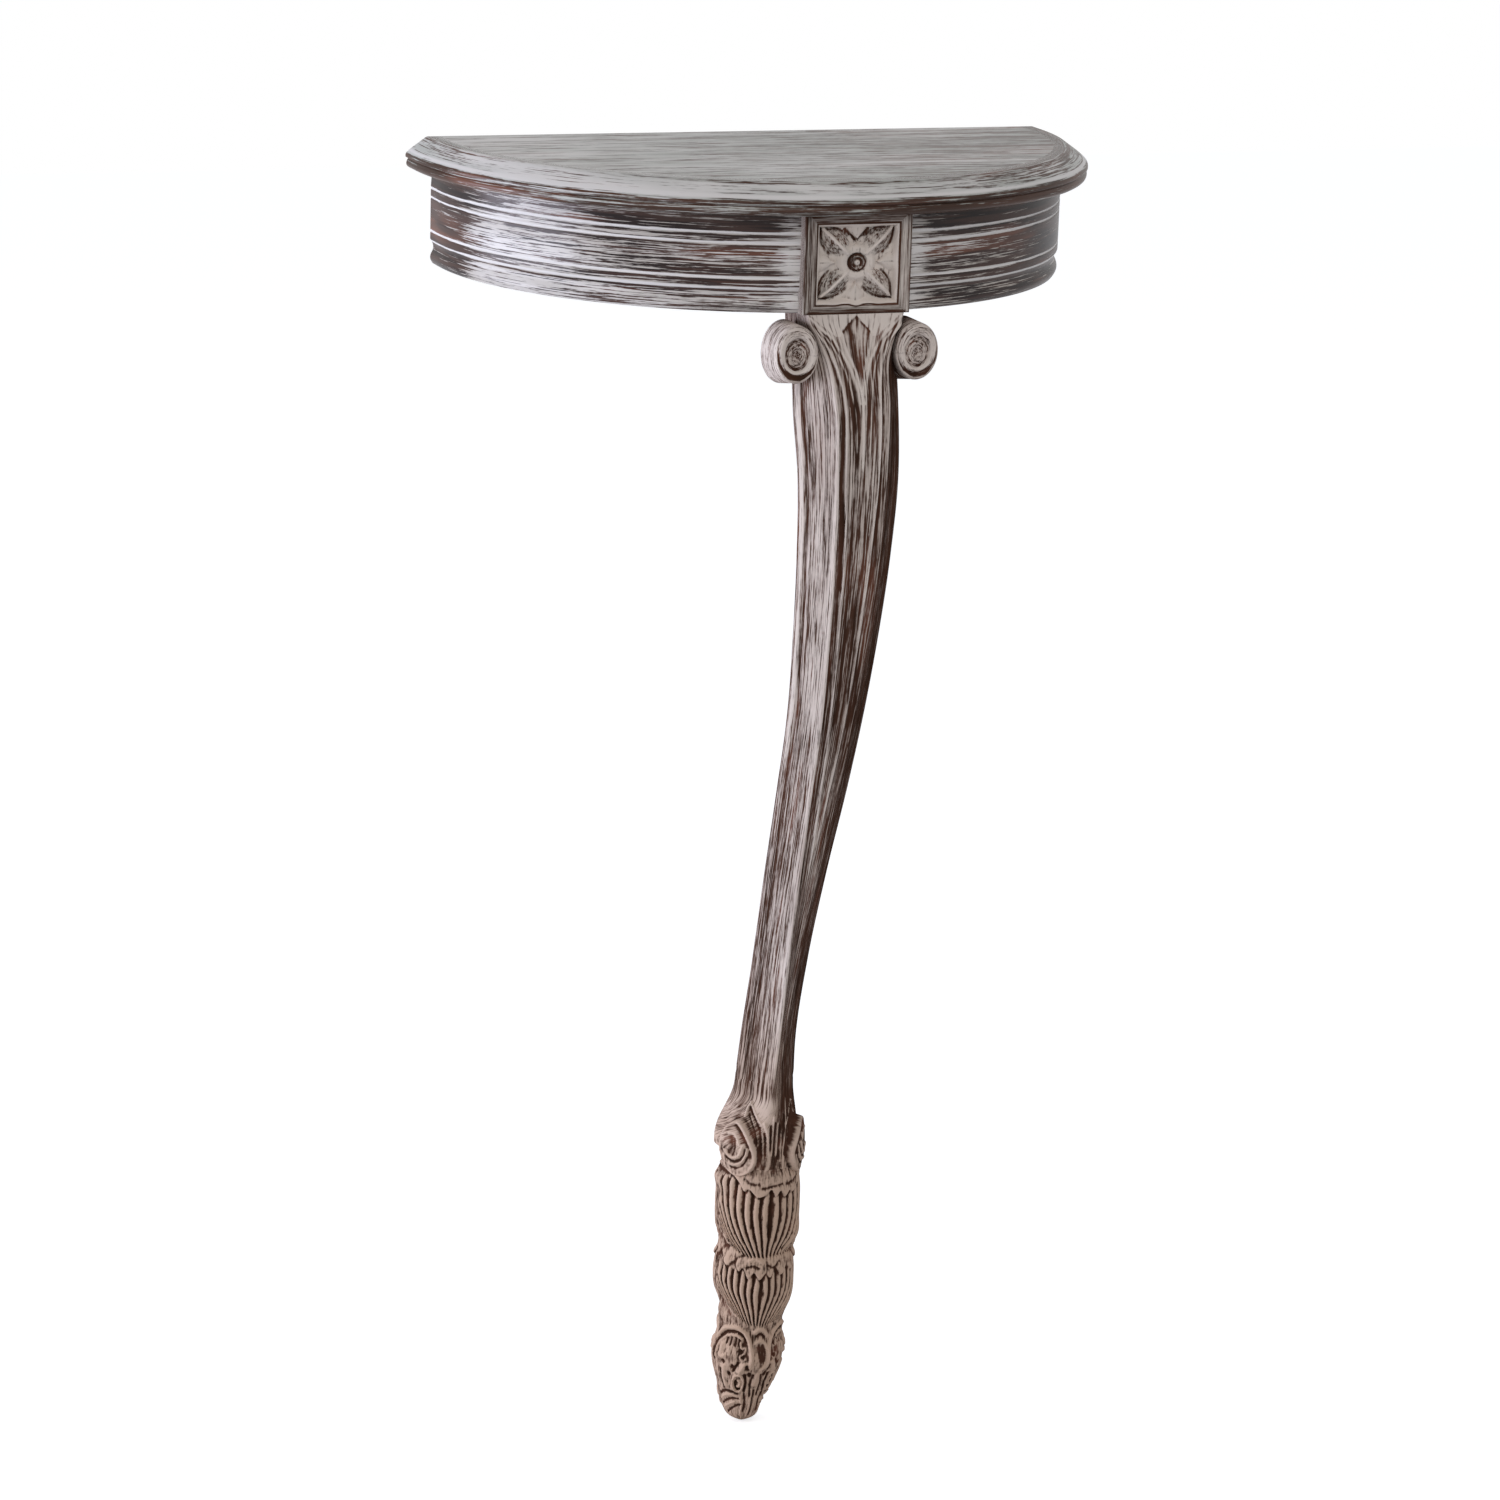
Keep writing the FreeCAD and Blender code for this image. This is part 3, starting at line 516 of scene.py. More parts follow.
# The top's edge under its slope, in mm: how far in, how far down and the corner's
# radius. First the band's foot, then the notch and the bead.
TOP_EDGE = ((0, 13.4, 0.5), (2.0, 14.2, 0.5), (1.2, 15.2, 0.8), (0.4, 17.4, 1.5),
            (1.2, 19.6, 1.5), (3.6, 21, 0.8))
TOP_COLUMNS, FLAT_ROWS = 260, 30        # points round the half circle, and in to its middle


def edge_of_top(sizes):
    """The top's edge as (radius, height, corner radius): slope, upright band,
    notch and bead."""
    radius, ceiling = sizes.top_radius, TOP_HIGH.z
    return [(radius - sizes.chamfer_run, ceiling, 1.2 * MM),
            (radius - 3.0 * MM, ceiling - sizes.chamfer_drop * 0.75, 3 * MM),
            (radius, ceiling - sizes.chamfer_drop, 1.8 * MM),
            *((radius - inset * MM, ceiling - down * MM, corner * MM)
              for inset, down, corner in TOP_EDGE)]


def build_top(sizes, material):
    """Profile of (radius, height) carried round the half circle and back to the
    wall, closed by the board's flat faces and its back. The lime lies thick on
    the slope and its lower arris, and is worn off the band and at the left end.
    Towards the right the edge and the flat are darker, partly the wood's browner
    tint and partly painted shade on the side away from the lamp."""
    corners = edge_of_top(sizes)
    profile = round_corners([(corners[0][0] - 2 * MM, TOP_HIGH.z, 0)] + corners
                            + [(corners[-1][0] - 4 * MM, TOP_LOW.z, 0)], 0.9 * MM)
    down = (TOP_HIGH.z - profile[:, 1]) / MM
    wash = (0.35 - 0.15 * bell(down - 0.6, 0.7) + 0.25 * ramp(down, 1, 3) + bell(down - 8.6, 0.8)
            - 0.7 * ramp(down, 9.6, 10.8) - 0.15 * ramp(down, 12, 14))
    edge = ring_points(profile[:, 0], profile[:, 1], sizes.wall_return, TOP_COLUMNS)
    x = edge[..., 0] / MM
    # Darker towards the right: partly the wood's browner tint, partly painted shade.
    patches = [patch(edge, arc_grain(edge, profile, sizes.top_radius, sizes.wall_return),
                     wash[:, None] - 0.55 * ramp(x, -80, 180) - 0.45 * ramp(-x, 200, 230))]
    for height, radius in ((TOP_HIGH.z, profile[0, 0]), (TOP_LOW.z, profile[-1, 0])):
        radii = np.linspace(0, radius, FLAT_ROWS)
        flat = ring_points(radii, np.full(FLAT_ROWS, height), sizes.wall_return, TOP_COLUMNS)
        # The flat is darker towards the right too, partly painted shade.
        wash = 0.4 - 0.5 * ramp(flat[..., 0] / MM, -140, 200) if height == TOP_HIGH.z else -0.5
        patches.append(patch(flat, flat * (0.7, 0.4, 1), wash))
    back = np.concatenate([edge[:, 0], edge[::-1, -1]])
    piece = make_piece("table_top_board", patches, [(back, back, 0.0)])
    dress(piece, material, ["table_top"])


# ------------------------------------------------------------------ the apron
FRIEZE_LINES = (19.2, 12.8, -9.8)       # heights of the incised lines, in mm
COVE_EDGE = -16.6                       # the cove's upper edge, limed like a line
# The frieze's foot, in mm: how far in from the face, how far down from its top
# and the corner's radius, for the cove and the bead.
FRIEZE_FOOT = ((0, 48, 0.6), (2.2, 51.6, 2.4), (2.2, 55, 2), (0.3, 58.4, 2.4), (0, 61.5, 2))
APRON_COLUMNS, WALL_COLUMNS = 150, 6    # points round the bend and along the wall return


def frieze_wash(profile, sizes):
    """Lime in the incised lines, painted shade on the edges beside each, a
    little more lime between the upper lines, the cove painted paler against its
    shade, painted shadow of the top in a band under it, and bare wood inside the
    apron."""
    height = profile[:, 1] / MM
    wash = np.full(len(profile), -0.14)
    for line in (*FRIEZE_LINES, COVE_EDGE):
        # Lime in each line; painted shade on the edges below and above it.
        wash += 2.4 * bell(height - line, 0.7) - 0.8 * bell(height - line + 2.0, 0.8)
        wash -= 0.5 * bell(height - line - 1.7, 0.6)
    # Paler between the upper lines; the cove is painted paler against its shade.
    wash += 0.3 * bell(height - 16, 1.6) + 0.25 * bell(height + 23, 3.5)
    # Painted shadow of the top's overhang: darker under the top.
    wash -= 0.35 * ramp(height, 19.8, 22)
    return np.where(profile[:, 0] > sizes.apron_radius - 6 * MM, wash, -0.9)


def frieze_profile(sizes):
    """The apron's section as (radius, height), from the top's inner corner round
    by the face and back: a slight taper under the top, three incised lines, cove
    and bead."""
    face, top, foot = sizes.apron_radius, APRON_HIGH.z, APRON_LOW.z
    inner = face - sizes.apron_thickness
    groove = ((0, 0.8, 0.3), (sizes.line_depth / MM, -0.2, 0.4), (0, -1.3, 0.3))
    corners = [(inner, top, 0), (face - 0.8 * MM, top, 0.2 * MM),
               (face, top - 11.5 * MM, 2 * MM)]
    corners += [(face - inset * MM, (line + rise) * MM, corner * MM)
                for line in FRIEZE_LINES for inset, rise, corner in groove]
    corners += [(face - inset * MM, top - down * MM, corner * MM)
                for inset, down, corner in FRIEZE_FOOT]
    corners += [(face - 2.2 * MM, foot, 1 * MM), (inner, foot, 1 * MM), (inner, top, 0)]
    return round_corners(corners, 1.0 * MM)


def build_apron(sizes, material, side):
    """The frieze's section carried along a quarter circle from the rosette
    block's cheek, where each ring starts on the plane of the cheek, and then
    straight to the wall. More lime lies by the block and less at the far left.
    The left apron has a paler band painted where the lamp's highlight falls, and
    the right apron is darkened towards the wall as painted shade on the side away
    from the lamp."""
    profile = frieze_profile(sizes)
    start = np.arcsin(BLOCK_HIGH.x / profile[:, 0])[:, None]
    turn = start + np.linspace(0, 1, APRON_COLUMNS) * (np.pi / 2 - start)
    radius, back = np.broadcast_arrays(
        profile[:, :1], np.linspace(-sizes.wall_return, 0, WALL_COLUMNS)[1:])
    x = np.concatenate([profile[:, :1] * np.sin(turn), radius], axis=1)
    y = np.concatenate([-sizes.wall_return - profile[:, :1] * np.cos(turn), back], axis=1)
    run = np.concatenate([turn * sizes.apron_radius, np.pi / 2 * sizes.apron_radius
                          + sizes.wall_return + back], axis=1)
    points = stacked(side * x, y, profile[:, 1:])
    grain = stacked(side * run, profile[:, 1:], profile[:, :1])
    wash = frieze_wash(profile, sizes)[:, None] + 0.6 * fade((x - BLOCK_HIGH.x) / MM, 4, 22)
    run = run / MM
    if side < 0:
        # Painted highlight: a paler band where the left lamp's highlight falls; the far left is
        # darker.
        wash += 0.55 * bell(run - 235, 65) - 0.5 * ramp(run, 275, 305)
    else:
        # Painted shade: darker towards the wall, on the side away from the lamp.
        wash -= 0.55 * ramp(run, 30, 240)
    caps = [(points[:-1, end], grain[:-1, end], -0.3) for end in (0, -1)]
    name = "apron_right" if side > 0 else "apron_left"
    piece = make_piece(name + "_bend", [patch(points, grain, wash)], caps)
    dress(piece, material, [name])


# ------------------------------------------------------------------ the block
def rosette_relief(x, z, sizes):
    """Height over the recess's floor, in mm, and the wash, on the block's face.

    The flower has four like quarters, so it is worked out in one: u runs out
    along the petal to the corner, v across it. A petal is a roof with hollow
    flanks, a pale ridge and a cut beside it, painted dark as its shadow, its half
    width a skewed arch of u. A small leaf with a dark vein lies between petals,
    and the boss in the middle is a sunk ring, painted dark as its shade, round a
    dished disc with a pale dot painted on as its highlight.
    """
    x, z = np.abs(x), np.abs(z)
    u, v = (x + z) / math.sqrt(2), np.abs(x - z) / math.sqrt(2)
    share = np.clip(u * MM / sizes.petal_length, 0, 1)
    half = sizes.petal_half_width / MM * np.sin(np.pi * share ** 1.15) ** 0.8 + 0.1
    inside = np.clip(1 - v / half, 0, 1)
    petal = 4.8 * inside ** 0.85 * ramp(u, 1, 10) * (1 - 0.5 * ramp(share, 0.7, 1))
    ridge = bell(v, 0.7) * between(share, 0.3, 0.45, 0.93, 1)
    out, off = np.maximum(x, z), np.minimum(x, z)
    leaf_half = np.maximum(6.5 * ramp(out, 13, 24), 0.1)
    leaf = 2.4 * np.clip(1 - (off / leaf_half) ** 2, 0, 1)
    centre = np.hypot(x, z)
    disc = 3.4 * fade(centre, 10, 15)
    ring = bell(centre - 6.0, 0.9)
    boss = 4.6 * fade(centre, 4.4, 6.2) - 2 * bell(centre - 2.8, 1.1)
    height = np.maximum.reduce([petal + 0.5 * ridge, leaf, disc, boss]) - 1.4 * ring
    pit_shade = bell(v - half - 0.9, 1.2) * ramp(u, 14, 18) * fade(share, 0.97, 1.05)
    petal_share = ramp(inside, 0, 0.12) * ramp(share, 0.3, 0.45)
    # Painted shade: darker beside each petal's cut and in the sunk ring; painted highlight: the
    # pale dot on the boss.
    wash = (2.2 * ridge - 0.9 * pit_shade - 0.9 * ring - 1.1 * fade(centre, 4.6, 6.6)
            + 1.2 * bell(centre - 1.2, 0.7) - 0.7 * petal_share
            - 0.6 * bell(off, 0.6) * ramp(out, 15, 18))
    return height - 0.8 * pit_shade, wash


# The notch between the rosette's upper petals, as (across, height) in mm.
NOTCH_PATH = ((-8, 22), (-4, 18.5), (0, 15.5), (4, 18.5), (8, 22))
BLOCK_COLUMNS, BLOCK_ROWS = 241, 213


def build_rosette_block(sizes, material):
    """A height field on the block's face, a skirt back to the rails and a back.
    The raised border's lower inner edge is scalloped by a cosine of x."""
    half_x, half_z = BLOCK_HIGH.x / MM, BLOCK_HIGH.z / MM
    recess, border = sizes.recess_depth / MM, sizes.frame_width / MM
    x, z = np.meshgrid(np.linspace(-half_x, half_x, BLOCK_COLUMNS),
                       np.linspace(-half_z, half_z, BLOCK_ROWS))
    side_in = half_x - np.abs(x) - border
    rail_in = half_z - np.abs(z) - border * 0.72
    scallop = 0.9 * np.cos(x * 2 * np.pi / 17) * bell(x, 14)
    inset = np.minimum(side_in, rail_in + scallop * (z < 0))
    sunk = ramp(inset, 0.2, 3.6)
    relief, lime = rosette_relief(x, (z - 0.8) * 1.08, sizes)
    notch = stroke(x, z, NOTCH_PATH, 1.1)
    relief, lime = relief - notch, lime - 1.2 * notch
    edge = np.minimum(half_x - np.abs(x), half_z - np.abs(z))
    height = (1 - sunk) * recess + sunk * relief - 0.7 * fade(edge, 0, 0.9)
    height = np.minimum(height, recess)
    points = stacked(x, BLOCK_LOW.y / MM + recess - height, z) * MM
    framed = np.minimum(side_in, rail_in) < 0.6
    rail = (rail_in < side_in) & framed
    grain = np.where(rail[..., None], points[..., (0, 2, 1)], points[..., (2, 0, 1)])
    grain = np.where(framed[..., None], grain, grain * (6, 0.5, 1))
    # Painted light and shade: carving above its moving average paler, below it darker.
    wash = np.where(framed, 0.04 - 0.14 * rail - 0.4 * bell(edge - 1, 1.2),
                    0.7 + lime + 0.4 * (height - blur(height, 6, 6)))
    wash += (1.0 + 0.6 * (z < 0)) * bell(inset - 1.6, 1.1) - 1.2 * bell(inset + 0.3, 0.5)
    rim = np.concatenate([points[0, :-1], points[:-1, -1], points[-1, :0:-1], points[::-1, 0]])
    back = rim.copy()
    back[:, 1] = BLOCK_HIGH.y
    skirt = np.stack([rim + t * (back - rim) for t in np.linspace(0, 1, 6)])
    skirt_grain = stacked(skirt[..., 2], skirt[..., 0] + skirt[..., 1], skirt[..., 1])
    patches = [patch(points, grain, wash), patch(skirt, skirt_grain, 0.15)]
    piece = make_piece("rosette_carving", patches, [(back[:-1], back[:-1], -0.5)])
    dress(piece, material, ["rosette_block"])


# ------------------------------------------------------------------ the leg
# Sections: height, then distance from the wall and half width at the front
# panel, at the widest arris and at the back, in mm.
LEG_SECTIONS = np.array([
    (-32.5, 236, 33.5, 214, 33.5, 192, 33.5),
    (-39, 236.5, 31.5, 216, 33.5, 192, 33.5),
    (-45, 238, 28, 219, 33.5, 192, 33),
    (-60, 243, 21.5, 219, 35.5, 193, 29),
    (-90, 255, 18.5, 223, 37, 196, 27),
    (-138, 257.9, 17, 233, 35.6, 206, 24.5),
    (-194, 253.7, 15.5, 230.5, 33.3, 205, 22.8),
    (-250, 243, 13.5, 221.5, 30.6, 198, 20.8),
    (-305, 230, 11.5, 208.5, 27.8, 187, 18.4),
    (-360, 211, 9.5, 189.5, 25.9, 167.5, 16.5),
    (-430, 186, 6.5, 162.5, 23, 141.5, 14.2),
    (-500, 162, 3.5, 138.5, 20.8, 117.5, 12),
    (-565, 146, 2.5, 120.5, 20.8, 98.5, 12.5),
    (-620, 141, 6, 114.5, 24, 91, 14.5),
    (-652, 139, 12, 112.5, 26.5, 87, 14.5),
])
# Carving of the front panel, right half, as (path of (x, height), half width,
# rise, wash) in mm: the small leaf's edges, the vein under it, two ridges, the cut
# beside the bead and two fine lines. The bead has a path of its own.
BEAD_PATH = ((33.5, -38), (28, -43.5), (21.4, -52.6), (17.6, -61), (14.8, -70), (12.9, -82),
             (12.2, -94), (12.0, -106), (11.4, -139), (9.6, -171), (8.9, -195), (8.0, -225),
             (6.4, -270), (4.6, -320), (2.8, -365), (0.9, -409), (0.6, -440))
KNEE_STROKES = (
    (((0, -34.6), (5, -39.5), (10, -44.5)), 0.7, -0.9, -0.6),
    (((10, -44.5), (9, -51), (7, -57), (3.6, -65.6), (1.6, -74), (0.6, -82)), 0.8, 0.9, 0.9),
    (((0, -80), (0, -98), (0, -115), (0, -129)), 0.8, 0.9, 1.3),
    (((31.6, -34.5), (24.4, -41.3), (17.4, -47.2), (11.5, -56), (6.6, -65), (3.4, -76),
      (1.6, -88)), 0.7, 0.6, 0.7),
    (((26.5, -42), (20, -48.5), (14.5, -57), (10, -68), (7, -82), (5.2, -98),
      (4.4, -120)), 0.6, 0.5, 0.9),
    (((30, -43.5), (22.5, -51.5), (18.8, -60), (15.9, -70), (14.0, -82), (13.4, -96),
      (13.2, -120), (11.8, -160), (10.2, -210)), 0.8, -0.5, -0.9),
    (((9, -90), (8.3, -110), (7.6, -140), (6.9, -175)), 0.5, 0.3, 0.7),
    (((5.2, -150), (4.6, -190), (3.4, -240), (2.0, -300)), 0.5, -0.4, -0.5),
)
# Half widths of the small leaf at the knee's head and of the space inside the
# leaf's ridges, each as (distances down, half widths) in mm.
LEAF_OUTLINE = ((33, 44.5, 57, 65.6, 74, 82), (0, 10, 7, 3.6, 1.6, 0))
LEAF_RIDGE = ((34.5, 41.3, 47.2, 56, 65, 76, 88, 130),
              (31.6, 24.4, 17.4, 11.5, 6.6, 3.4, 1.6, 0.5))
# The six sides of the leg's section, from the right cheek's front part round by
# the back to the front panel: columns on each, and the corner radius in mm at
# the start of each.
SIDE_COLUMNS = (50, 12, 14, 12, 50, 90)
CORNER_RADII = (1.3, 2.2, 4, 4, 2.2, 1.3)
CORNER_COLUMNS = 5
RIGHT_CHEEK, LEFT_CHEEK, FRONT_PANEL = 0, 4, 5
RIGHT_BACK = slice(55, 80)              # columns from the right cheek's arris to mid-back
GRAIN_SEAM = 93                         # column at the back where the grain's count jumps
GIRTH_ROW = 200                         # row whose girth spaces the grain
LEG_TOP, KNEE_END, SHAFT_END = -32.5, -110, -594    # heights in mm
KNEE_ROWS, SHAFT_ROWS = 125, 175        # the knee's carving needs the rows closer together


def leg_sections(heights):
    """Corner points of the six-cornered section at each height: front right,
    right arris, back right, and the same mirrored, as (rows, 6, 2) in metres."""
    knots = -LEG_SECTIONS[:, 0]
    values = [curve(-heights / MM, knots, LEG_SECTIONS[:, k]) * MM for k in range(1, 7)]
    front, front_half, side, side_half, back, back_half = values
    right = [stacked(half, -place) for half, place in
             ((front_half, front), (side_half, side), (back_half, back))]
    left = [corner * (-1, 1) for corner in right[::-1]]
    return np.stack(right + left, axis=1)


def leg_base(heights):
    """Grid round the leg. Each side of the section takes a fixed number of
    columns and each corner is rounded with a quadratic arc. Returns the points,
    which side each column is on, and how far across it is (0 to 1)."""
    corners = leg_sections(heights)
    pieces, side_index, across = [], [], []
    for index, count in enumerate(SIDE_COLUMNS):
        after_index = (index + 1) % 6
        here, after, last_one = (corners[:, k % 6] for k in (index, index + 1, index + 2))
        run, beyond = after - here, last_one - after
        size, beyond_size = (np.linalg.norm(side, axis=-1, keepdims=True)
                             for side in (run, beyond))
        first, last, leave = (
            np.minimum(CORNER_RADII[corner] * MM / whole, 0.45)
            for corner, whole in ((index, size), (after_index, size), (after_index, beyond_size)))
        t = np.linspace(0, 1, count)[None, :, None]
        place = first[:, None] + t * (1 - first - last)[:, None]
        t = np.linspace(0, 1, CORNER_COLUMNS + 2)[None, 1:-1, None]
        arc = (after[:, None] - (1 - t) ** 2 * (last * run)[:, None]
               + t ** 2 * (leave * beyond)[:, None])
        pieces += [here[:, None] + place * run[:, None], arc]
        side_index.append(np.full(count + CORNER_COLUMNS, index))
        across += [place[..., 0], np.ones((len(heights), CORNER_COLUMNS))]
    flat = np.concatenate(pieces, axis=1)
    points = stacked(flat[..., 0], flat[..., 1], heights[:, None])
    return points, np.concatenate(side_index), np.concatenate(across, axis=1)


def knee_relief(x, z, front_half, sizes):
    """Carving of the front panel as relief in metres and wash, from x and height,
    the same on both halves: the strokes, a bead down each side, and a hollow
    flute from the bead out to the panel's edge. The small leaf at the head is
    raised and dark between two pale triangles, and the space between the leaf's
    ridges and the beads is dark."""
    off, height = np.abs(x) / MM, z / MM
    down = -height
    relief, wash = carve(off, height, KNEE_STROKES)
    bead = stroke(off, height, BEAD_PATH, 0.9) * fade(down, 395, 440)
    bead_x, bead_z = np.array(BEAD_PATH).T
    line = curve(down, -bead_z, bead_x)
    outer = np.clip((off - line) / np.maximum(front_half / MM - line, 1), 0, 1)
    flute = np.sin(np.pi * outer) * between(down, 40, 60, 390, 425)
    relief += sizes.bead_height / MM * bead - 1.5 * flute
    # Painted shade: the hollow flutes are darkened.
    wash += 0.9 * bead - 0.25 * flute
    leaf, ridge = curve(down, *LEAF_OUTLINE), curve(down, *LEAF_RIDGE)
    in_leaf = (off < leaf) & (down > 34) & (down < 82)
    pale_triangle = (off > leaf) & (down < 46.5) & (off < 30 + (34 - down) * 1.25)
    flutes = (between(off, ridge + 0.8, ridge + 2.2, line - 2.4, line - 1)
              * between(down, 37, 45, 95, 140))
    leaf_side = bell(off - 4.5, 3) * between(down, 56, 70, 118, 140)
    wash += 0.4 * pale_triangle - 0.36 * in_leaf - 0.2 * leaf_side - 0.7 * flutes
    return (relief + 0.5 * in_leaf) * MM, wash


ANKLE_TOP, ANKLE_END = -584, -662       # the ankle's carved part, in mm
ANKLE_ROWS, ANKLE_COLUMNS = 130, 361
MIDDLE_ROW = 10                         # the shaft's end is measured round this row's middle
OVAL_MIDDLE = (57, -637.5)              # of an ankle volute: degrees from the front, height
OVAL_HALF = (15.3, 21)                  # its half width and half height, in mm
ROUNDING = 14                           # power that rounds the ankle's corners
ARC_PER_DEGREE = 0.46                   # mm round the ankle and the foot to a degree
# Carving of the ankle as (path of (degrees from the front, height in mm), half
# width, rise, wash): first the leaf and volute at each corner, then the front.
LEAF_STROKES = (
    (((54, -614), (52, -608.5), (46, -604)), 0.9, 0.9, 0.7),
    (((46, -604), (38, -608.5), (29, -614), (21, -618.5)), 0.8, 0.9, 0.7),
    (((45, -611), (35, -618), (28, -627), (23.5, -640)), 3.8, -1.2, -0.4),
    (((48, -607.5), (40, -612), (31, -617), (25, -622)), 0.8, -1, -0.7),
    (((47, -613), (40, -617.5), (32, -624), (27.5, -632)), 0.8, -0.9, -0.7),
    (((43, -614), (35, -620), (28, -628), (25, -636)), 0.6, 0.7, 0.5),
    (((24, -621), (21.5, -630), (20, -642)), 0.8, -1, -0.7),
    (((57, -618), (49, -621.5), (40, -627), (33.5, -633), (29, -639), (28, -644), (31.5, -649),
      (37, -653.5), (45, -657)), 1.5, 0.9, 0.5),
    (((60, -620.5), (51, -624), (43.5, -629), (37.5, -634.5), (34, -641)), 1, -1, -0.7),
    (((55, -621), (49, -626), (46, -630)), 2.6, -0.4, -0.4),
    (((75, -640), (64, -643.5), (54, -643), (48, -639.5), (45, -634)), 0.9, 1.0, 0.8),
    (((71, -645), (61, -646.3), (52, -645.6), (44, -641.5), (41, -636)), 0.7, -1, -0.8),
    (((66, -649), (57, -648.8), (47, -646.4), (40.5, -641), (38.5, -636)), 0.8, 0.9, 0.7),
    (((63, -651.4), (52, -651), (43, -647.5), (37.5, -641.5)), 0.7, -1, -0.8),
    (((64, -630), (62.5, -636), (65, -641)), 2.2, -1.2, -0.6),
    (((58.5, -630), (57, -637), (60, -642)), 0.7, -0.8, -0.7),
    (((70, -627), (61, -626.3), (54, -629), (50, -633)), 0.9, 0.8, 0.8),
)
FRONT_STROKES = (
    (((-17, -617.5), (-12, -623.5), (-10, -630), (-9, -638), (-6.5, -643.5), (-8, -650),
      (-16, -655), (-27, -660)), 1.2, 1.3, 0.8),
    (((-16, -625), (-13.5, -632), (-13, -641)), 0.8, -1.2, -0.9),
    (((-18.5, -626), (-17, -640)), 0.6, 0.6, 0.4),
    (((-21, -634), (-20, -646), (-17, -652)), 2.4, -0.6, -0.4),
    (((-6.5, -619), (-6, -637)), 0.8, -1.1, -0.8),
    (((-3, -612), (-3, -641)), 0.7, 0.7, 0.5),
    (((0.5, -617), (0, -641)), 0.8, -1, -0.7),
    (((4, -617), (4, -641)), 0.7, 0.7, 0.4),
    (((8, -619), (8, -644)), 0.8, -1, -0.7),
    (((11.5, -622), (11.5, -646)), 0.7, 0.7, 0.3),
    (((15.5, -612), (15, -640)), 0.8, -0.9, -0.6),
    (((20, -600), (19.5, -625), (18, -652)), 0.8, 0.8, 0.8),
    (((2, -645), (2, -660)), 3.9, -0.8, -0.6),
)


def volute_body(angle, height):
    """An ankle volute's body as a share, 1 on top of it and 0 outside: an oval
    that is narrower at its upper end on the side towards the front."""
    v = (height - OVAL_MIDDLE[1]) / OVAL_HALF[1]
    u = (angle - OVAL_MIDDLE[0]) * ARC_PER_DEGREE / OVAL_HALF[0]
    front = 0.96 - 0.45 * np.clip(v, 0, 1) + 0.15 * np.clip(-v, 0, 1)
    r = np.hypot(u / np.where(u < 0, front, 1), v)
    return 1 - ramp(r, 0.93, 1.04)


def rounded_reach(corners, middle, theta):
    """Reach of a section from its middle by the angle from the front: one over
    the norm of (facing / distance) over its sides, of a high power, which rounds
    the corners."""
    here = corners - stacked(0.0, middle)[:, None]
    run = np.roll(here, -1, axis=1) - here
    normal = stacked(run[..., 1], -run[..., 0])
    normal /= np.linalg.norm(normal, axis=-1, keepdims=True)
    distance = np.sum(normal * here, axis=-1)
    normal *= np.sign(distance)[..., None]
    towards = np.stack([np.sin(theta), -np.cos(theta)])
    facing = np.clip(normal @ towards, 0, None) / np.abs(distance)[..., None]
    return np.sum(facing ** ROUNDING, axis=1) ** (-1 / ROUNDING)


def ankle_patch(end_points, end_grain, end_wash):
    """The carved ankle, from inside the shaft's end down to the foot: reach from
    the leg's middle by angle and height, turning from its section to a circle.
    It swells at the back, is darker on the right, and its grain and wash carry
    on from the shaft's last row."""
    heights = np.linspace(ANKLE_TOP, ANKLE_END, ANKLE_ROWS) * MM
    theta = np.linspace(-np.pi, np.pi, ANKLE_COLUMNS)
    corners = leg_sections(heights)
    middle = corners[:, 1, 1]
    t, z = np.meshgrid(theta, heights)
    height, angle = z / MM, np.degrees(t)
    down, turned = -height, np.abs(angle)
    reach = rounded_reach(corners, middle, theta)
    body = volute_body(turned, height)
    reach += ramp(down, 596, 640) * (25.6 * MM - reach)
    reach -= 4 * MM * ramp(down, 652, 657) * (1 - body)
    relief, wash = carve(turned * ARC_PER_DEGREE, height, LEAF_STROKES, ARC_PER_DEGREE)
    cut, lime = carve(angle * ARC_PER_DEGREE, height, FRONT_STROKES, ARC_PER_DEGREE)
    relief += (cut + 5.2 * body * (1 - 0.35 * ramp(down, 645, 658))
               + 8 * bell(turned - 124, 24) * between(down, 596, 636, 642, 646))
    shaft_end = fade(np.abs(angle + 18), 18, 26) * between(down, 590, 600, 613, 622)
    ribs = fade(turned, 16, 22) * ramp(down, 620, 626)
    right = between(angle, -2, 6, 100, 140) * fade(down, 622, 636)
    # Painted light and shade: carving above its moving average paler, below it darker.
    wash = (0.2 + 0.85 * (wash + lime) + 0.35 * shaft_end - 0.15 * ribs - 0.35 * right
            + 0.35 * (relief - blur(relief, 4, 5, wrap=True)))
    end_angle = np.arctan2(end_points[:-1, 0], middle[MIDDLE_ROW] - end_points[:-1, 1])
    order = np.argsort(end_angle)
    across, shaft = (np.interp(theta, end_angle[order], values[:-1][order])
                     for values in (end_grain[:, 1], end_wash))
    wash = ramp(down, 594, 606) * wash + fade(down, 590, 655) * shaft
    reach += (relief * ramp(down, 590, 598) - 0.7 * fade(down, 585, 593)) * MM
    points = stacked(reach * np.sin(t), middle[:, None] - reach * np.cos(t), z)
    below = end_points[0, 2] - z
    grain = stacked(end_grain[0, 0] + below + 4 * np.clip(below - 12 * MM, 0, None),
                    across * (1 - 0.5 * ramp(down, 598, 640)), 0.0)
    return patch(points, grain, wash)


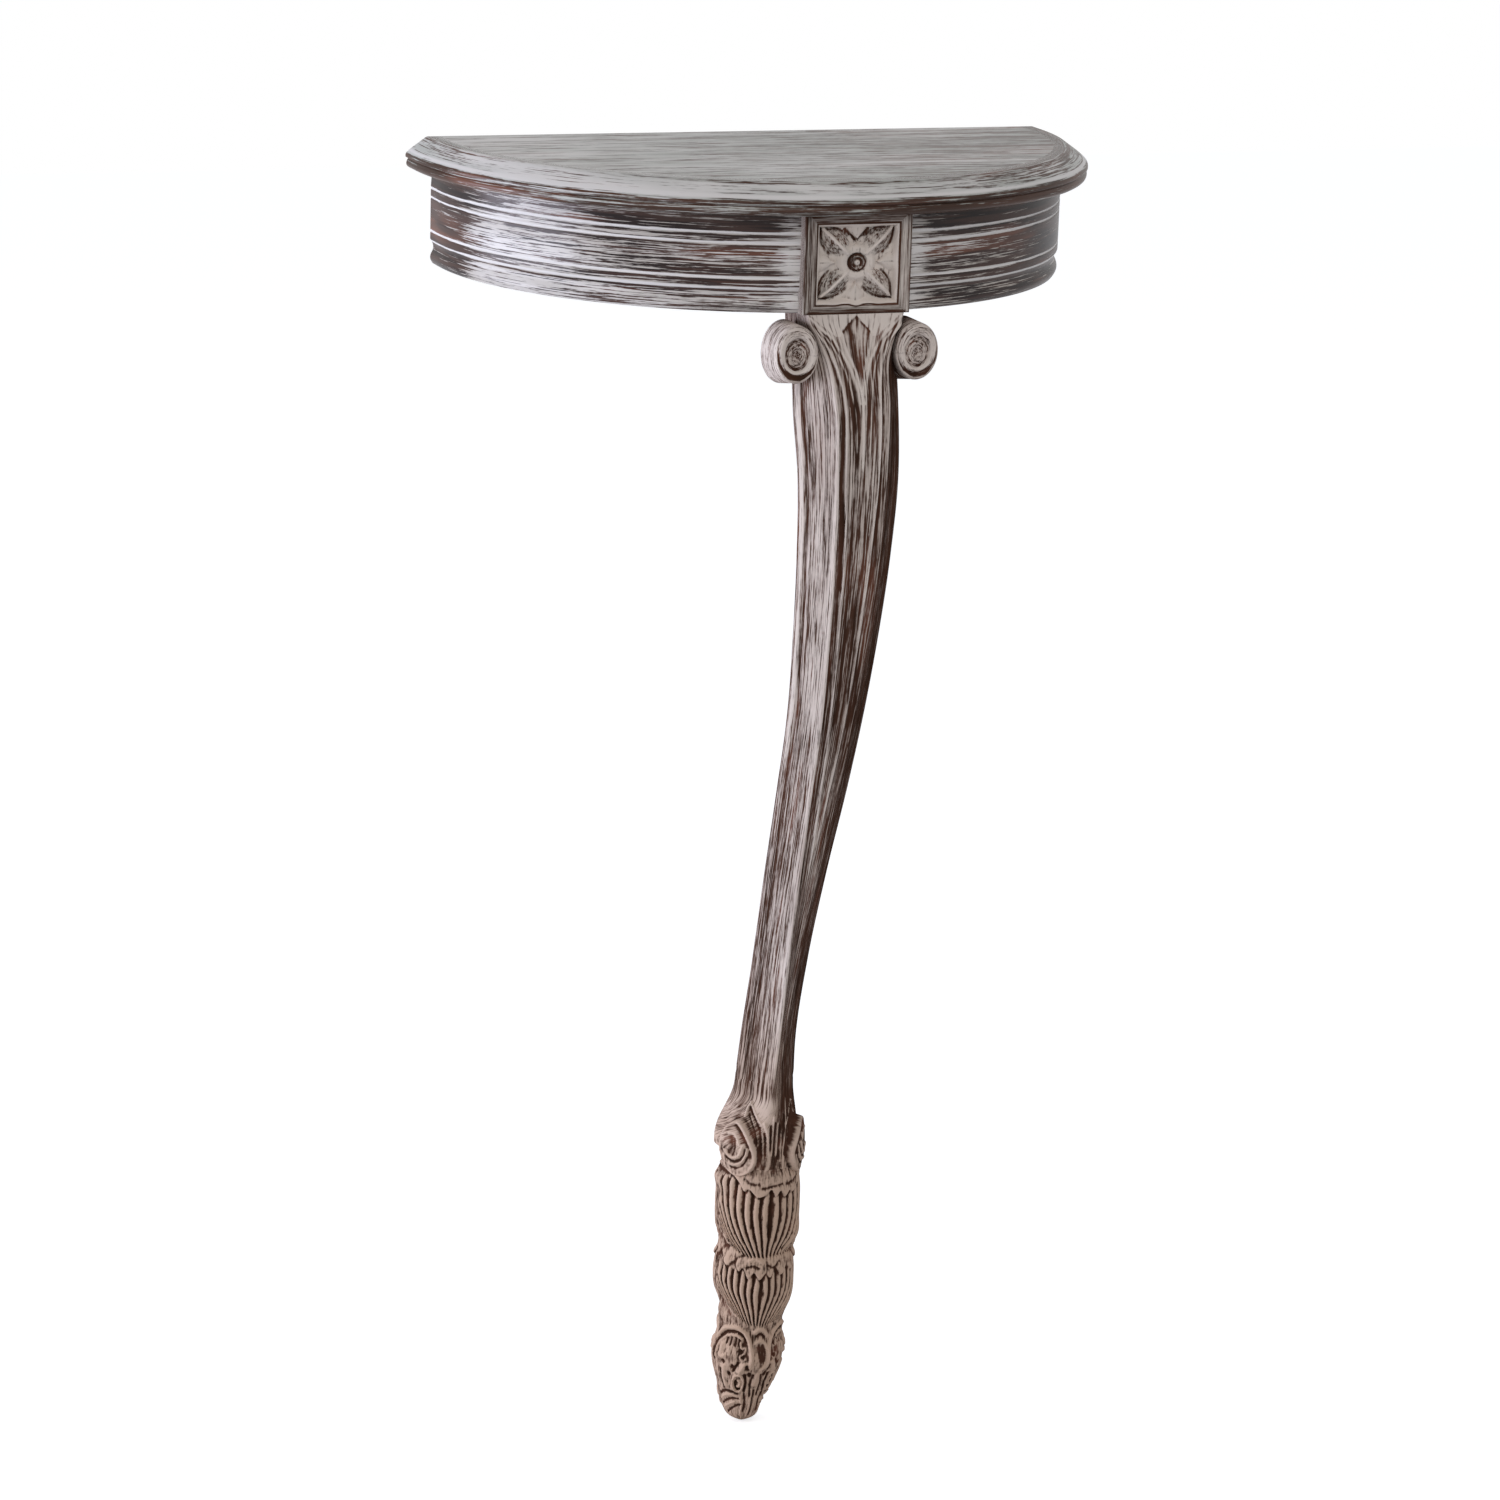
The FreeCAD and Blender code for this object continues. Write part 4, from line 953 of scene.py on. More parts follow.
def left_cheek_wash(share, down, fluted):
    """Lime on the left cheek by the share across it, 0 at the front arris, and
    the distance down: a pale back arris and middle, a painted highlight along the
    front arris, darker lower down."""
    # The front arris's pale line is a painted highlight.
    return (fluted * (0.6 * bell(share - 0.9, 0.06) + 0.2 * bell(share - 0.38, 0.16))
            + 0.45 * bell(share, 0.16) * fade(down, 560, 600)
            + 0.12 * ramp(down, 120, 260) - 0.25 * ramp(down, 290, 350)
            + 0.15 * ramp(down, 380, 440) - 0.3 * bell(share - 0.74, 0.1) * ramp(down, 380, 430))


def build_leg(sizes, material):
    """Sections along the height with carving added along the surface's normal: the
    front panel's, and a groove down each cheek. The shaft's end sinks into the
    ankle."""
    heights = np.concatenate([np.linspace(LEG_TOP, KNEE_END, KNEE_ROWS)[:-1],
                              np.linspace(KNEE_END, SHAFT_END, SHAFT_ROWS)]) * MM
    down = -heights[:, None] / MM
    points, side_index, across = leg_base(heights)
    relief, wash = np.zeros_like(across), np.full_like(across, -0.1)
    front = side_index == FRONT_PANEL
    front_half = leg_sections(heights)[:, :1, 0]
    knee, lime = knee_relief(points[:, front, 0], points[:, front, 2], front_half, sizes)
    relief[:, front] += knee
    wash[:, front] += (0.8 * lime - 0.17 + 0.5 * fade(down, 90, 210)
                       + 0.12 * between(down, 300, 340, 480, 520))
    fluted = between(down, 62, 80, 330, 400)
    # Painted light and shade: the right cheek, away from the lamp, is darkened; the left cheek's
    # extra lime is partly painted light.
    for cheek, lime in ((RIGHT_CHEEK, -0.45), (LEFT_CHEEK, 0.1)):
        columns = side_index == cheek
        share = across[:, columns] if cheek == RIGHT_CHEEK else 1 - across[:, columns]
        groove = bell(share - 0.76, 0.05) * fluted
        relief[:, columns] -= 1.0 * MM * groove
        wash[:, columns] += lime - 0.4 * groove
        if cheek == LEFT_CHEEK:
            wash[:, columns] += left_cheek_wash(share, down, fluted)
    # Painted shade: darker on the right of the back.
    wash[:, RIGHT_BACK] -= 0.5
    normals = surface_normals(points)
    if np.sum(normals[..., 0] * points[..., 0]) < 0:
        normals = -normals
    normals[..., 2] = 0
    relief -= 0.7 * MM * ramp(down, 585, 593)
    points = points + normals * relief[..., None]
    points = np.concatenate([points, points[:, :1]], axis=1)
    wash = np.concatenate([wash, wash[:, :1]], axis=1)
    around = length_along(points[GIRTH_ROW, :, :2])
    around[GRAIN_SEAM:] -= around[-1]
    grain = stacked(length_along(points[:, 0])[:, None], around, 0.0)
    patches = [patch(points, grain, wash), ankle_patch(points[-1], grain[-1], wash[-1])]
    caps = [(grid[row, :-1], threads[row, :-1], 0.0) for grid, threads, _ in patches
            for row in (0, -1)]
    piece = make_piece("cabriole_leg", patches, caps)
    dress(piece, material, ["leg"])


# ------------------------------------------------------------------ the ears
# The left ear in mm: its face's middle as (distance left, forward and down), its
# half width and half height, and how deep its barrel is.
EAR_MIDDLE = (41.5, 240.4, 57.3)
EAR_HALF = (14.8, 18.8)
EAR_DEPTH = 25
EAR_ROWS, BARREL_ROWS, EAR_COLUMNS = 60, 8, 121


def build_ears(material):
    """A volute on each side of the knee, worked out for the left ear and
    mirrored. Its face is a disc in polar shares (r, t) with a convex band from
    the rim in to 0.6, a step down to a dished eye, and a crescent groove under
    the band's lower left, painted dark as its shadow; the barrel behind widens
    downwards. The right ear is given painted shade, its barrel darkest."""
    share = np.concatenate([np.linspace(0, 1, EAR_ROWS), np.ones(BARREL_ROWS), [0.6, 0]])
    lift = np.concatenate([np.zeros(EAR_ROWS), np.linspace(0, 1, BARREL_ROWS + 1)[1:], [1, 1]])
    r, t = np.meshgrid(share, np.linspace(0, 2 * np.pi, EAR_COLUMNS), indexing="ij")
    face = (np.arange(len(share)) < EAR_ROWS)[:, None]
    low_left, upper = (0.5 + 0.5 * np.cos(t - math.radians(place)) for place in (260, 80))
    crescent = bell(r - 0.97 + 0.2 * low_left ** 2, 0.03 + 0.08 * low_left ** 4) * (
        0.1 + 0.9 * low_left ** 1.5)
    step = ramp(r, 0.55, 0.63)
    rim = 1 - np.sqrt(1 - np.clip((r - 0.86) / 0.14, 0, 1) ** 2)
    height = (1.6 * step + 1.0 * bell(r - 0.76, 0.14) - 1.8 * crescent + 0.8 * bell(r - 0.3, 0.14)
              - 1.0 * bell(r, 0.16) - 2.4 * rim)
    # Painted shadow: the crescent is darkened.
    light = (0.6 - 2.2 * crescent + 1.2 * bell(r - 0.6, 0.05) * low_left ** 1.5
             - 0.7 * bell(r - 0.5, 0.06) * (0.3 + 0.7 * low_left) - 0.35 * bell(r, 0.2)
             - 0.45 * (1 - step) - 0.3 * bell(r - 0.8, 0.04) * upper)
    behind = lift[:, None]
    x = -EAR_MIDDLE[0] + EAR_HALF[0] * r * np.cos(t)
    y = -EAR_MIDDLE[1] - np.where(face, height, -2.4 - EAR_DEPTH * behind)
    z = -EAR_MIDDLE[2] + EAR_HALF[1] * r * np.sin(t) - 4.5 * behind * (0.5 - 0.5 * np.sin(t))
    wash = np.where(face, light, 0.3 - 0.9 * bell(behind, 0.08))
    # Painted shade for the right ear, on the side away from the lamp.
    shade = 0.6 * wash + np.where(face, 0.15, -0.3)
    grain = stacked(t * 60, r * 17, y) * MM
    for side, node, tone in ((1, "scroll_right", shade), (-1, "scroll_left", wash)):
        points = stacked(-side * x, y, z) * MM
        piece = make_piece(node + "_volute", [patch(points, grain, tone)])
        dress(piece, material, [node])


# ------------------------------------------------------------------ the foot
# The foot's outline down its axis, as (height, radius, distance from the wall).
FOOT_OUTLINE = np.array([
    (-652, 25.5, 112.5), (-655, 26.4, 112.2), (-662, 28.2, 111.5), (-670, 29.4, 111),
    (-682, 29.9, 110.4), (-694, 29.7, 110), (-706, 28.4, 109), (-712, 26.8, 108.6),
    (-718, 25.9, 108.2), (-726, 27.6, 107.6), (-736, 28.7, 107), (-745, 28.3, 106.3),
    (-757, 25.8, 105.4), (-765, 24.2, 104.8), (-774, 22.4, 104.2), (-783, 22.2, 103.6),
    (-791, 24.4, 102.2), (-800, 25.2, 100.6), (-812, 23.4, 98.4), (-822, 20.6, 96.6),
    (-833, 18.3, 95), (-845, 14.6, 93.6), (-853, 8.9, 92.6), (-856.2, 3.5, 92.2),
])
# Lower edges by degrees from the front, in mm: the rolled lip over the upper
# bulb, the foot of its ribs, the ruffled collar under it and the foot of the
# lower bulb's ribs.
LIP_EDGE = ((-90, -656), (-75, -656), (-61, -657.5), (-52, -660.5), (-45, -664), (-40, -668),
            (-33, -666), (-26, -669.5), (-15, -671.5), (-8, -669), (-2, -666.5), (4, -671),
            (12, -668), (18, -672), (26, -669), (35, -670), (45, -665), (60, -660),
            (90, -656))
UPPER_EDGE = ((-90, -699), (-75, -705), (-60, -712), (-45, -716), (-20, -719), (8, -718.5),
              (25, -718), (45, -718.5), (66, -719), (90, -716))
COLLAR_EDGE = ((-90, -722), (-82, -718.5), (-63, -727), (-50, -723), (-42, -729.5),
               (-36, -726.5), (-28, -734), (-20, -730), (-10, -734.5), (-3, -730), (4, -733.5),
               (11, -726), (16, -729), (23, -732.5), (31, -727), (45, -731), (60, -724),
               (75, -727), (90, -722))
LOWER_EDGE = ((-90, -750), (-75, -754), (-60, -760), (-46, -765), (-29, -771), (-3, -773),
              (31, -771), (63, -768), (90, -764))
# Carving as (path of (degrees from the front, height), half width, rise, wash).
COLLAR_STROKES = (
    (((-84, -719), (-74, -714), (-62, -712)), 1.1, -1.0, -0.6),
    (((-50, -723), (-45, -719), (-36, -717.5)), 1.0, -0.9, -0.6),
    (((-31, -726), (-22, -724.5), (-13, -726)), 0.9, -1.2, -0.3),
    (((-27, -720.5), (-18, -719), (-8, -721.5)), 1.0, 1.0, 0.9),
    (((0, -724), (9, -726), (19, -722)), 0.9, -1.2, -0.3),
    (((24, -716.5), (33, -712), (43, -706)), 1.0, 1.1, 0.9),
    (((26, -713.5), (34, -709), (42, -703.5)), 1.0, -1.0, -0.7),
    (((60, -724), (52, -718), (48, -710)), 1.0, -0.9, -0.5),
    (((-64, -723), (-63, -717)), 2.4, 0.7, 0.4),
    (((66, -722), (64, -714)), 2.4, 0.7, 0.4),
)
# The almond in the upper bulb's middle groove and three creases in the lip.
HOLLOW_STROKES = (
    (((-1, -678), (-1, -688), (-1, -700)), 2.4, -1.0, -0.7),
    (((-14, -665), (0, -663.5), (14, -662.5)), 1.1, -0.8, -0.6),
    (((-40, -659), (-30, -662), (-20, -662)), 1.1, -0.7, -0.5),
    (((22, -663), (34, -662), (46, -659)), 1.1, -0.7, -0.5),
)
# The knot and the leaf on the bud's front.
KNOT_STROKES = (
    (((-12, -777.5), (-3, -775.5), (6, -777), (13, -781)), 1.6, 1.5, 0.8),
    (((-8, -781), (1, -779.5), (8, -782)), 0.9, -1.2, -0.5),
    (((-9, -785.5), (0, -784.5), (10, -788), (14, -796), (11, -804), (4, -807.5)), 1.3, 1.3, 0.7),
    (((1, -790), (5, -799)), 3.0, -1.6, -0.7),
    (((-7, -797), (-5, -804)), 2.2, 0.7, 0.1),
)
# The bud, the same on both sides and at the back: a double hood over a fringe
# of flutes, a curled leaf and its boss in the hood's mouth, pits round them, a
# rosette under it and leaf ribs folded over each other down to the tip.
BUD_STROKES = (
    (((97, -793), (90, -786), (80, -780.5), (65, -776.5), (45, -775), (31, -777.5), (23, -782),
      (17, -789), (14, -797), (15, -805)), 1.7, 1.9, 0.8),
    (((93, -797), (86, -789), (77, -783.5), (64, -779.6), (45, -778.3), (33, -780.5),
      (26, -785.5)), 1, -1.3, -1.0),
    (((83, -801), (80, -792), (72, -786), (62, -782.3), (45, -781), (35, -783)), 1.0, 1.2, 0.6),
    (((88, -804), (87, -796)), 1.3, -0.9, -0.8),
    (((62, -784), (62, -788)), 0.8, -0.9, -1.0),
    (((54, -783), (54, -788.5)), 0.8, -0.9, -1.0),
    (((45, -783), (45, -788.5)), 0.8, -0.9, -1.0),
    (((38, -784), (37.5, -788)), 0.8, -0.9, -1.0),
    (((69, -790), (68, -794)), 2.0, 1.6, 0.8),
    (((73, -798), (66, -799), (60, -797)), 1.4, 1.3, 0.7),
    (((54, -791), (53, -796)), 1.6, 0.8, 0.1),
    (((30, -789), (29, -797)), 3.6, -1.9, -1.0),
    (((36, -786.5), (31, -790.5), (26, -789.5), (27, -794), (33, -796.5), (29, -799.5),
      (24, -798)), 1.0, 1.5, 0.7),
    (((24, -803), (31, -809)), 2.3, 2.2, 1.0),
    (((45, -805), (45, -805.6)), 1.4, -2, -1.4),
    (((51, -811.5), (51, -812.2)), 1.2, -1.8, -1.4),
    (((35.5, -802), (43, -809)), 1, -1.7, -1.3),
    (((64, -802.5), (63, -803)), 1.4, -1.7, -1.3),
    (((20, -804), (19, -806)), 1.6, -2, -1.4),
    (((15, -811), (14, -811.8)), 1.4, -2, -1.4),
    (((22, -812), (20, -819), (21, -826)), 1.2, -1.7, -1.3),
    (((60, -806), (62, -815), (60, -823)), 2.2, 1.1, 0.4),
    (((70, -810), (72, -819), (66, -826)), 1, -1.3, -1.1),
    (((43, -817), (38, -813), (30, -812.5), (24, -816), (24, -822), (30, -826.5), (39, -826.5),
      (44, -822), (43, -817)), 0.9, 1.5, 0.9),
    (((34, -817), (30, -818), (31, -822), (37, -822.5)), 0.8, 1.0, 0.8),
    (((38, -817.5), (40, -820), (36, -824.5), (30, -824.5)), 0.9, -1.5, -1.3),
    (((0, -812), (2, -820)), 2.2, 1.2, 0.6),
    (((7, -812), (10, -820), (8, -830)), 1, -1.2, -1.0),
    (((80, -832), (64, -828.5), (48, -828), (34, -829)), 1, -1.3, -1.1),
    (((78, -836), (62, -832), (46, -830.5), (34, -831.5)), 1.0, 0.9, 0.7),
    (((76, -840), (60, -836), (44, -833.5), (30, -833.5)), 0.9, -1.1, -1.0),
    (((72, -843.5), (56, -839.5), (40, -836.5)), 1.0, 0.9, 0.6),
    (((66, -847), (50, -843), (36, -839.5), (24, -838)), 0.9, -1.1, -1.0),
    (((20, -829), (17, -836), (19, -844)), 1.2, -1.2, -1.0),
    (((27, -833), (24, -841), (27, -848)), 1.2, 0.9, 0.6),
    (((5, -834), (5, -842), (8, -849)), 1.1, 0.8, 0.6),
    (((0, -826), (0, -836), (0, -848)), 1, -1, -0.8),
)
# Each bulb: where its ribs start, the foot of the ribs, the middle groove's place
# and the ribs' spacing in degrees.
BULBS = ((-656, UPPER_EDGE, -1, 13), (-724, LOWER_EDGE, -8, 11))
FOOT_ROWS, FOOT_COLUMNS = 285, 331
FOOT_TIP = -856.5                       # height of the point that closes the foot, in mm


def edge_at(fold, edge):
    """Height of an edge at the given degrees from the front."""
    degrees, heights = np.array(edge).T
    return curve(fold, degrees, heights)


def bulb_ribs(fold, height, top, edge, centre, period):
    """Gadroons of one bulb: the share of the way from a crest to the next groove
    and where they are. They run straight down from round heads, bow out round the
    middle groove and draw together towards it by the cube of the way to the edge."""
    foot = edge_at(fold, edge)
    share = np.clip((top - height) / (top - foot), 0, 1)
    bow = 2.6 * np.tanh((fold - centre) / 5) * bell(share - 0.5, 0.22)
    phase = (fold - centre - bow) / (1 - 0.55 * share ** 3) / period
    off = 2 * np.abs(phase - np.floor(phase) - 0.5)
    head = ramp(top - height, 1 + 3 * off ** 2, 4 + 3 * off ** 2)
    return off, head * fade(foot - height, -1.5, 0.3)


def foot_relief(theta, z, sizes):
    """Carving of the foot by the angle from the front and the height: the rolled
    lip and the collar stand out with a painted shadow line under each, the bulbs'
    ribs run between them and leave off at the leaf on each side, the outline is
    fuller on one side and hollow on the other, and the strokes are added. The back
    repeats the front as in a mirror. Crests are painted paler and hollows darker
    by the height over a moving average, as painted light and shade."""
    fold = np.degrees(np.arctan2(np.sin(theta), np.abs(np.cos(theta))))
    height = z / MM
    relief, wash = np.zeros_like(z), np.full_like(z, 0.1)
    side_leaf = ramp(np.abs(fold), 80, 84)
    upper_edge, lip_edge, collar_edge = (
        edge_at(fold, edge) for edge in (UPPER_EDGE, LIP_EDGE, COLLAR_EDGE))
    lip = ramp(height, lip_edge - 0.6, lip_edge + 1.2)
    collar = between(height, collar_edge - 0.6, collar_edge + 1.2, upper_edge - 2, upper_edge + 2)
    for bulb, over in zip(BULBS, (lip, collar)):
        off, inside = bulb_ribs(fold, height, *bulb)
        inside *= (1 - side_leaf) * (1 - over)
        relief -= inside * 1.25 * sizes.gadroon_depth / MM * off ** 2.2
        # Painted light and shade: the ribs' crests paler, their grooves darker.
        wash += inside * (0.5 - 1.3 * off ** 1.5)
        below = height - edge_at(fold, bulb[1])
        relief += (2.0 * bell(below - 12, 9) * ramp(fold, 15, 60)
                   - 3.2 * bell(below + 5, 6) * ramp(-fold, 40, 80))
    relief += (2.8 * bell(height + 664, 6) * ramp(-fold, 45, 80)
               - 3.5 * bell(height + 840, 9) * ramp(fold, 20, 60)
               + 1.5 * lip * fade(height, -660, -652) + 1.3 * collar)
    wash += 0.1 * lip - 0.2 * side_leaf + 0.12 * fade(height, -790, -780)
    # Painted shadow: a dark line under the lip and under the collar.
    wash -= 0.6 * (bell(height - lip_edge + 1, 1.2) + bell(height - collar_edge + 1, 1.2))
    u = fold * ARC_PER_DEGREE
    for place, strokes in ((u, COLLAR_STROKES + HOLLOW_STROKES + KNOT_STROKES),
                           (np.abs(u), BUD_STROKES)):
        cut, lime = carve(place, height, strokes, ARC_PER_DEGREE)
        relief += cut
        wash += 0.7 * lime
    # Painted light and shade: carving above its moving average paler, below it darker.
    hollow, broad_hollow = (relief - blur(relief, *reach, wrap=True) for reach in ((3, 4), (8, 8)))
    return relief * MM, wash + 0.35 * hollow + 0.3 * broad_hollow


def build_foot(sizes, material):
    """The foot's outline turned about its leaning axis, with its carving, which
    grows shallower where the foot is thinner than 16 mm."""
    heights = np.linspace(FOOT_OUTLINE[0, 0], FOOT_OUTLINE[-1, 0], FOOT_ROWS) * MM
    radius, axis = (curve(-heights / MM, -FOOT_OUTLINE[:, 0], values)[:, None] * MM
                    for values in FOOT_OUTLINE.T[1:])
    t, z = np.meshgrid(np.linspace(-np.pi, np.pi, FOOT_COLUMNS), heights)
    relief, wash = foot_relief(t, z, sizes)
    reach = radius + relief * np.minimum(radius / (16 * MM), 1)
    points = stacked(reach * np.sin(t), -axis - reach * np.cos(t), z)
    tip = np.broadcast_to((0, -axis[-1, 0], FOOT_TIP * MM), (1, FOOT_COLUMNS, 3))
    points = np.concatenate([points, tip])
    wash, t = (np.concatenate([grid, grid[-1:]]) for grid in (wash, t))
    grain = stacked(5 * points[..., 2], t * 13 * MM, 0.0)
    piece = make_piece("carved_foot", [patch(points, grain, wash)],
                       [(points[0, :-1], grain[0, :-1], 0.0)])
    dress(piece, material, ["foot"])


# ------------------------------------------------------------------ stage
# Lamps: name, place and size in metres, power in watts, colour. Both face LAMP_AIM.
LAMPS = (("window_left", (-2.42, 0.4, -0.3), (1.9, 1.05), 54, "#e6ebff"),
         ("front_fill", (-0.4, -2.7, 2.2), (1.8, 1.8), 27, "#fffaf4"))
LAMP_AIM = (0, -0.1, -0.25)
FLOOR_HALF = 6.0                        # metres
# The camera: degrees round from the front, up, and of tilt; the place that it
# looks at and its distance from it in mm; its lens and sensor in mm.
CAMERA_ANGLES = (-20.415, 14.919, 1.863)
CAMERA_AIM = (24.6, 0, -386.8)
CAMERA_DISTANCE = 3408.5
CAMERA_LENS, CAMERA_SENSOR = 115.2, 36


def build_stage():
    """Pale floor at the foot's tip, soft light mainly from the left, camera."""
    scene = bpy.context.scene
    floor_mesh = bpy.data.meshes.new("floor")
    level = FOOT_LOW.z - 0.3 * MM
    corners = [(x * FLOOR_HALF, y * FLOOR_HALF, level)
               for x, y in ((-1, -1), (1, -1), (1, 1), (-1, 1))]
    floor_mesh.from_pydata(corners, [], [(0, 1, 2, 3)])
    floor = bpy.data.objects.new("floor", floor_mesh)
    scene.collection.objects.link(floor)
    floor_mesh.materials.append(pale_floor())
    white_world(scene)
    for name, place, size, power, tint in LAMPS:
        light = bpy.data.lights.new(name, "AREA")
        light.shape = "RECTANGLE"
        light.size, light.size_y = size
        light.energy = power
        light.color = linear(tint)
        lamp = bpy.data.objects.new(name, light)
        lamp.visible_camera = False
        lamp.matrix_world = looking_along(np.subtract(LAMP_AIM, place), place)
        scene.collection.objects.link(lamp)
    add_camera(scene)
    scene.view_settings.view_transform = "Standard"


def looking_along(direction, place):
    """Matrix of a lamp or camera at a place whose -Z looks along the direction,
    upright."""
    back = -np.array(direction) / np.linalg.norm(direction)
    right = np.cross((0, 0, 1), back)
    right /= np.linalg.norm(right)
    matrix = np.eye(4)
    matrix[:3] = np.stack([right, np.cross(back, right), back, place], axis=1)
    return Matrix(matrix.tolist())


def add_camera(scene):
    """Camera to the left of the front and above the table, tilted under 2 degrees."""
    azimuth, elevation, roll = (math.radians(a) for a in CAMERA_ANGLES)
    back = np.array([math.sin(azimuth) * math.cos(elevation),
                     -math.cos(azimuth) * math.cos(elevation), math.sin(elevation)])
    place = (np.array(CAMERA_AIM) + back * CAMERA_DISTANCE) * MM
    data = bpy.data.cameras.new("camera")
    data.sensor_width = CAMERA_SENSOR
    data.lens = CAMERA_LENS
    camera = bpy.data.objects.new("camera", data)
    camera.matrix_world = looking_along(-back, place) @ Matrix.Rotation(roll, 4, "Z")
    scene.collection.objects.link(camera)
    scene.camera = camera


def seen_directly(tree):
    """1 for camera, glossy and transmission rays, else 0."""
    path = add_node(tree, "ShaderNodeLightPath")
    total = weighted_sum(tree, [(path.outputs[kind], 1.0) for kind in (
        "Is Camera Ray", "Is Glossy Ray", "Is Transmission Ray")])
    return add_node(tree, "ShaderNodeMath", {"operation": "MINIMUM"}, {1: 1.0},
                    {0: total}).outputs[0]


def pale_floor():
    """Matt pale paper: lit softly, lifted to white for the camera except where
    the table's shadow falls."""
    material, tree, output = new_material("pale_paper_floor")
    paper = add_node(tree, "ShaderNodeBsdfDiffuse", {}, {"Color": (0.8, 0.8, 0.8, 1)})
    lifted = weighted_sum(tree, [(seen_directly(tree), 0.66)])
    glow = add_node(tree, "ShaderNodeEmission", {}, {"Color": (1, 1, 1, 1)},
                    {"Strength": lifted})
    both = add_node(tree, "ShaderNodeAddShader", {}, {}, {0: paper.outputs[0], 1: glow.outputs[0]})
    tree.links.new(both.outputs[0], output)
    return material


def white_world(scene):
    """White for camera and glossy rays, a soft grey light for all others."""
    world = bpy.data.worlds.new("soft_room")
    world.use_nodes = True
    tree = world.node_tree
    tree.nodes.clear()
    room, white = (add_node(tree, "ShaderNodeBackground", {}, {"Color": tint, "Strength": strength})
                   for tint, strength in (((0.9, 0.93, 1, 1), 0.45), ((1, 1, 1, 1), 1.0)))
    mixed = add_node(tree, "ShaderNodeMixShader", {}, {},
                     {0: seen_directly(tree), 1: room.outputs[0], 2: white.outputs[0]})
    add_node(tree, "ShaderNodeOutputWorld", {}, {}, {"Surface": mixed.outputs[0]})
    scene.world = world


# ------------------------------------------------------------------ add-on
def sizes_of(context):
    """The sizes that the user has set."""
    return context.scene.pier_table_sizes


def finish_of(context):
    """The colours that the user has set."""
    return context.scene.pier_table_finish


def leg_woods(finish):
    """The browner wood of the top, the block and the leg, from dark to red, and the painted shade
    colour of its pits.
    """
    return finish.leg_dark, finish.leg_wood, finish.red_wood, finish.pit_shade


def limed_leg(finish):
    """The leg's and the foot's wood, with wax that yellows towards the floor."""
    return limed_mahogany("limed_leg", cover=0.47, soft=0.26, gloss=0.0, woods=leg_woods(finish),
                          limes=(finish.leg_lime, finish.cream_lime),
                          yellowed=(finish.beige_lime, -480 * MM, -700 * MM))


class PIER_OT_top(bpy.types.Operator):
    """Make the half-round top board"""
    bl_idname = "pier.top"
    bl_label = "Top board"

    def execute(self, context):
        finish = finish_of(context)
        build_top(sizes_of(context), limed_mahogany(
            "limed_top", cover=0.48, soft=0.18, gloss=0.3, woods=leg_woods(finish),
            limes=(finish.top_lime, finish.lime)))
        return {"FINISHED"}


class PIER_OT_aprons(bpy.types.Operator):
    """Make the two bent aprons"""
    bl_idname = "pier.aprons"
    bl_label = "Aprons"

    def execute(self, context):
        finish = finish_of(context)
        woods = (finish.dark_wood, finish.brown_wood, finish.red_wood, finish.pit_shade)
        material = limed_mahogany("limed_apron", cover=0.47, soft=0.13, gloss=0.35, woods=woods,
                                  limes=(finish.grey_lime, finish.lime))
        for side in (-1, 1):
            build_apron(sizes_of(context), material, side)
        return {"FINISHED"}


class PIER_OT_rosette(bpy.types.Operator):
    """Make the rosette block"""
    bl_idname = "pier.rosette"
    bl_label = "Rosette block"

    def execute(self, context):
        finish = finish_of(context)
        build_rosette_block(sizes_of(context), limed_mahogany(
            "limed_rosette", cover=0.5, soft=0.3, gloss=0.0, woods=leg_woods(finish),
            limes=(finish.grey_lime, finish.cream_lime), streaky=0.65))
        return {"FINISHED"}


class PIER_OT_leg(bpy.types.Operator):
    """Make the cabriole leg with its volutes"""
    bl_idname = "pier.leg"
    bl_label = "Leg"

    def execute(self, context):
        material = limed_leg(finish_of(context))
        build_leg(sizes_of(context), material)
        build_ears(material)
        return {"FINISHED"}


class PIER_OT_foot(bpy.types.Operator):
    """Make the carved foot"""
    bl_idname = "pier.foot"
    bl_label = "Foot"

    def execute(self, context):
        build_foot(sizes_of(context), limed_leg(finish_of(context)))
        return {"FINISHED"}


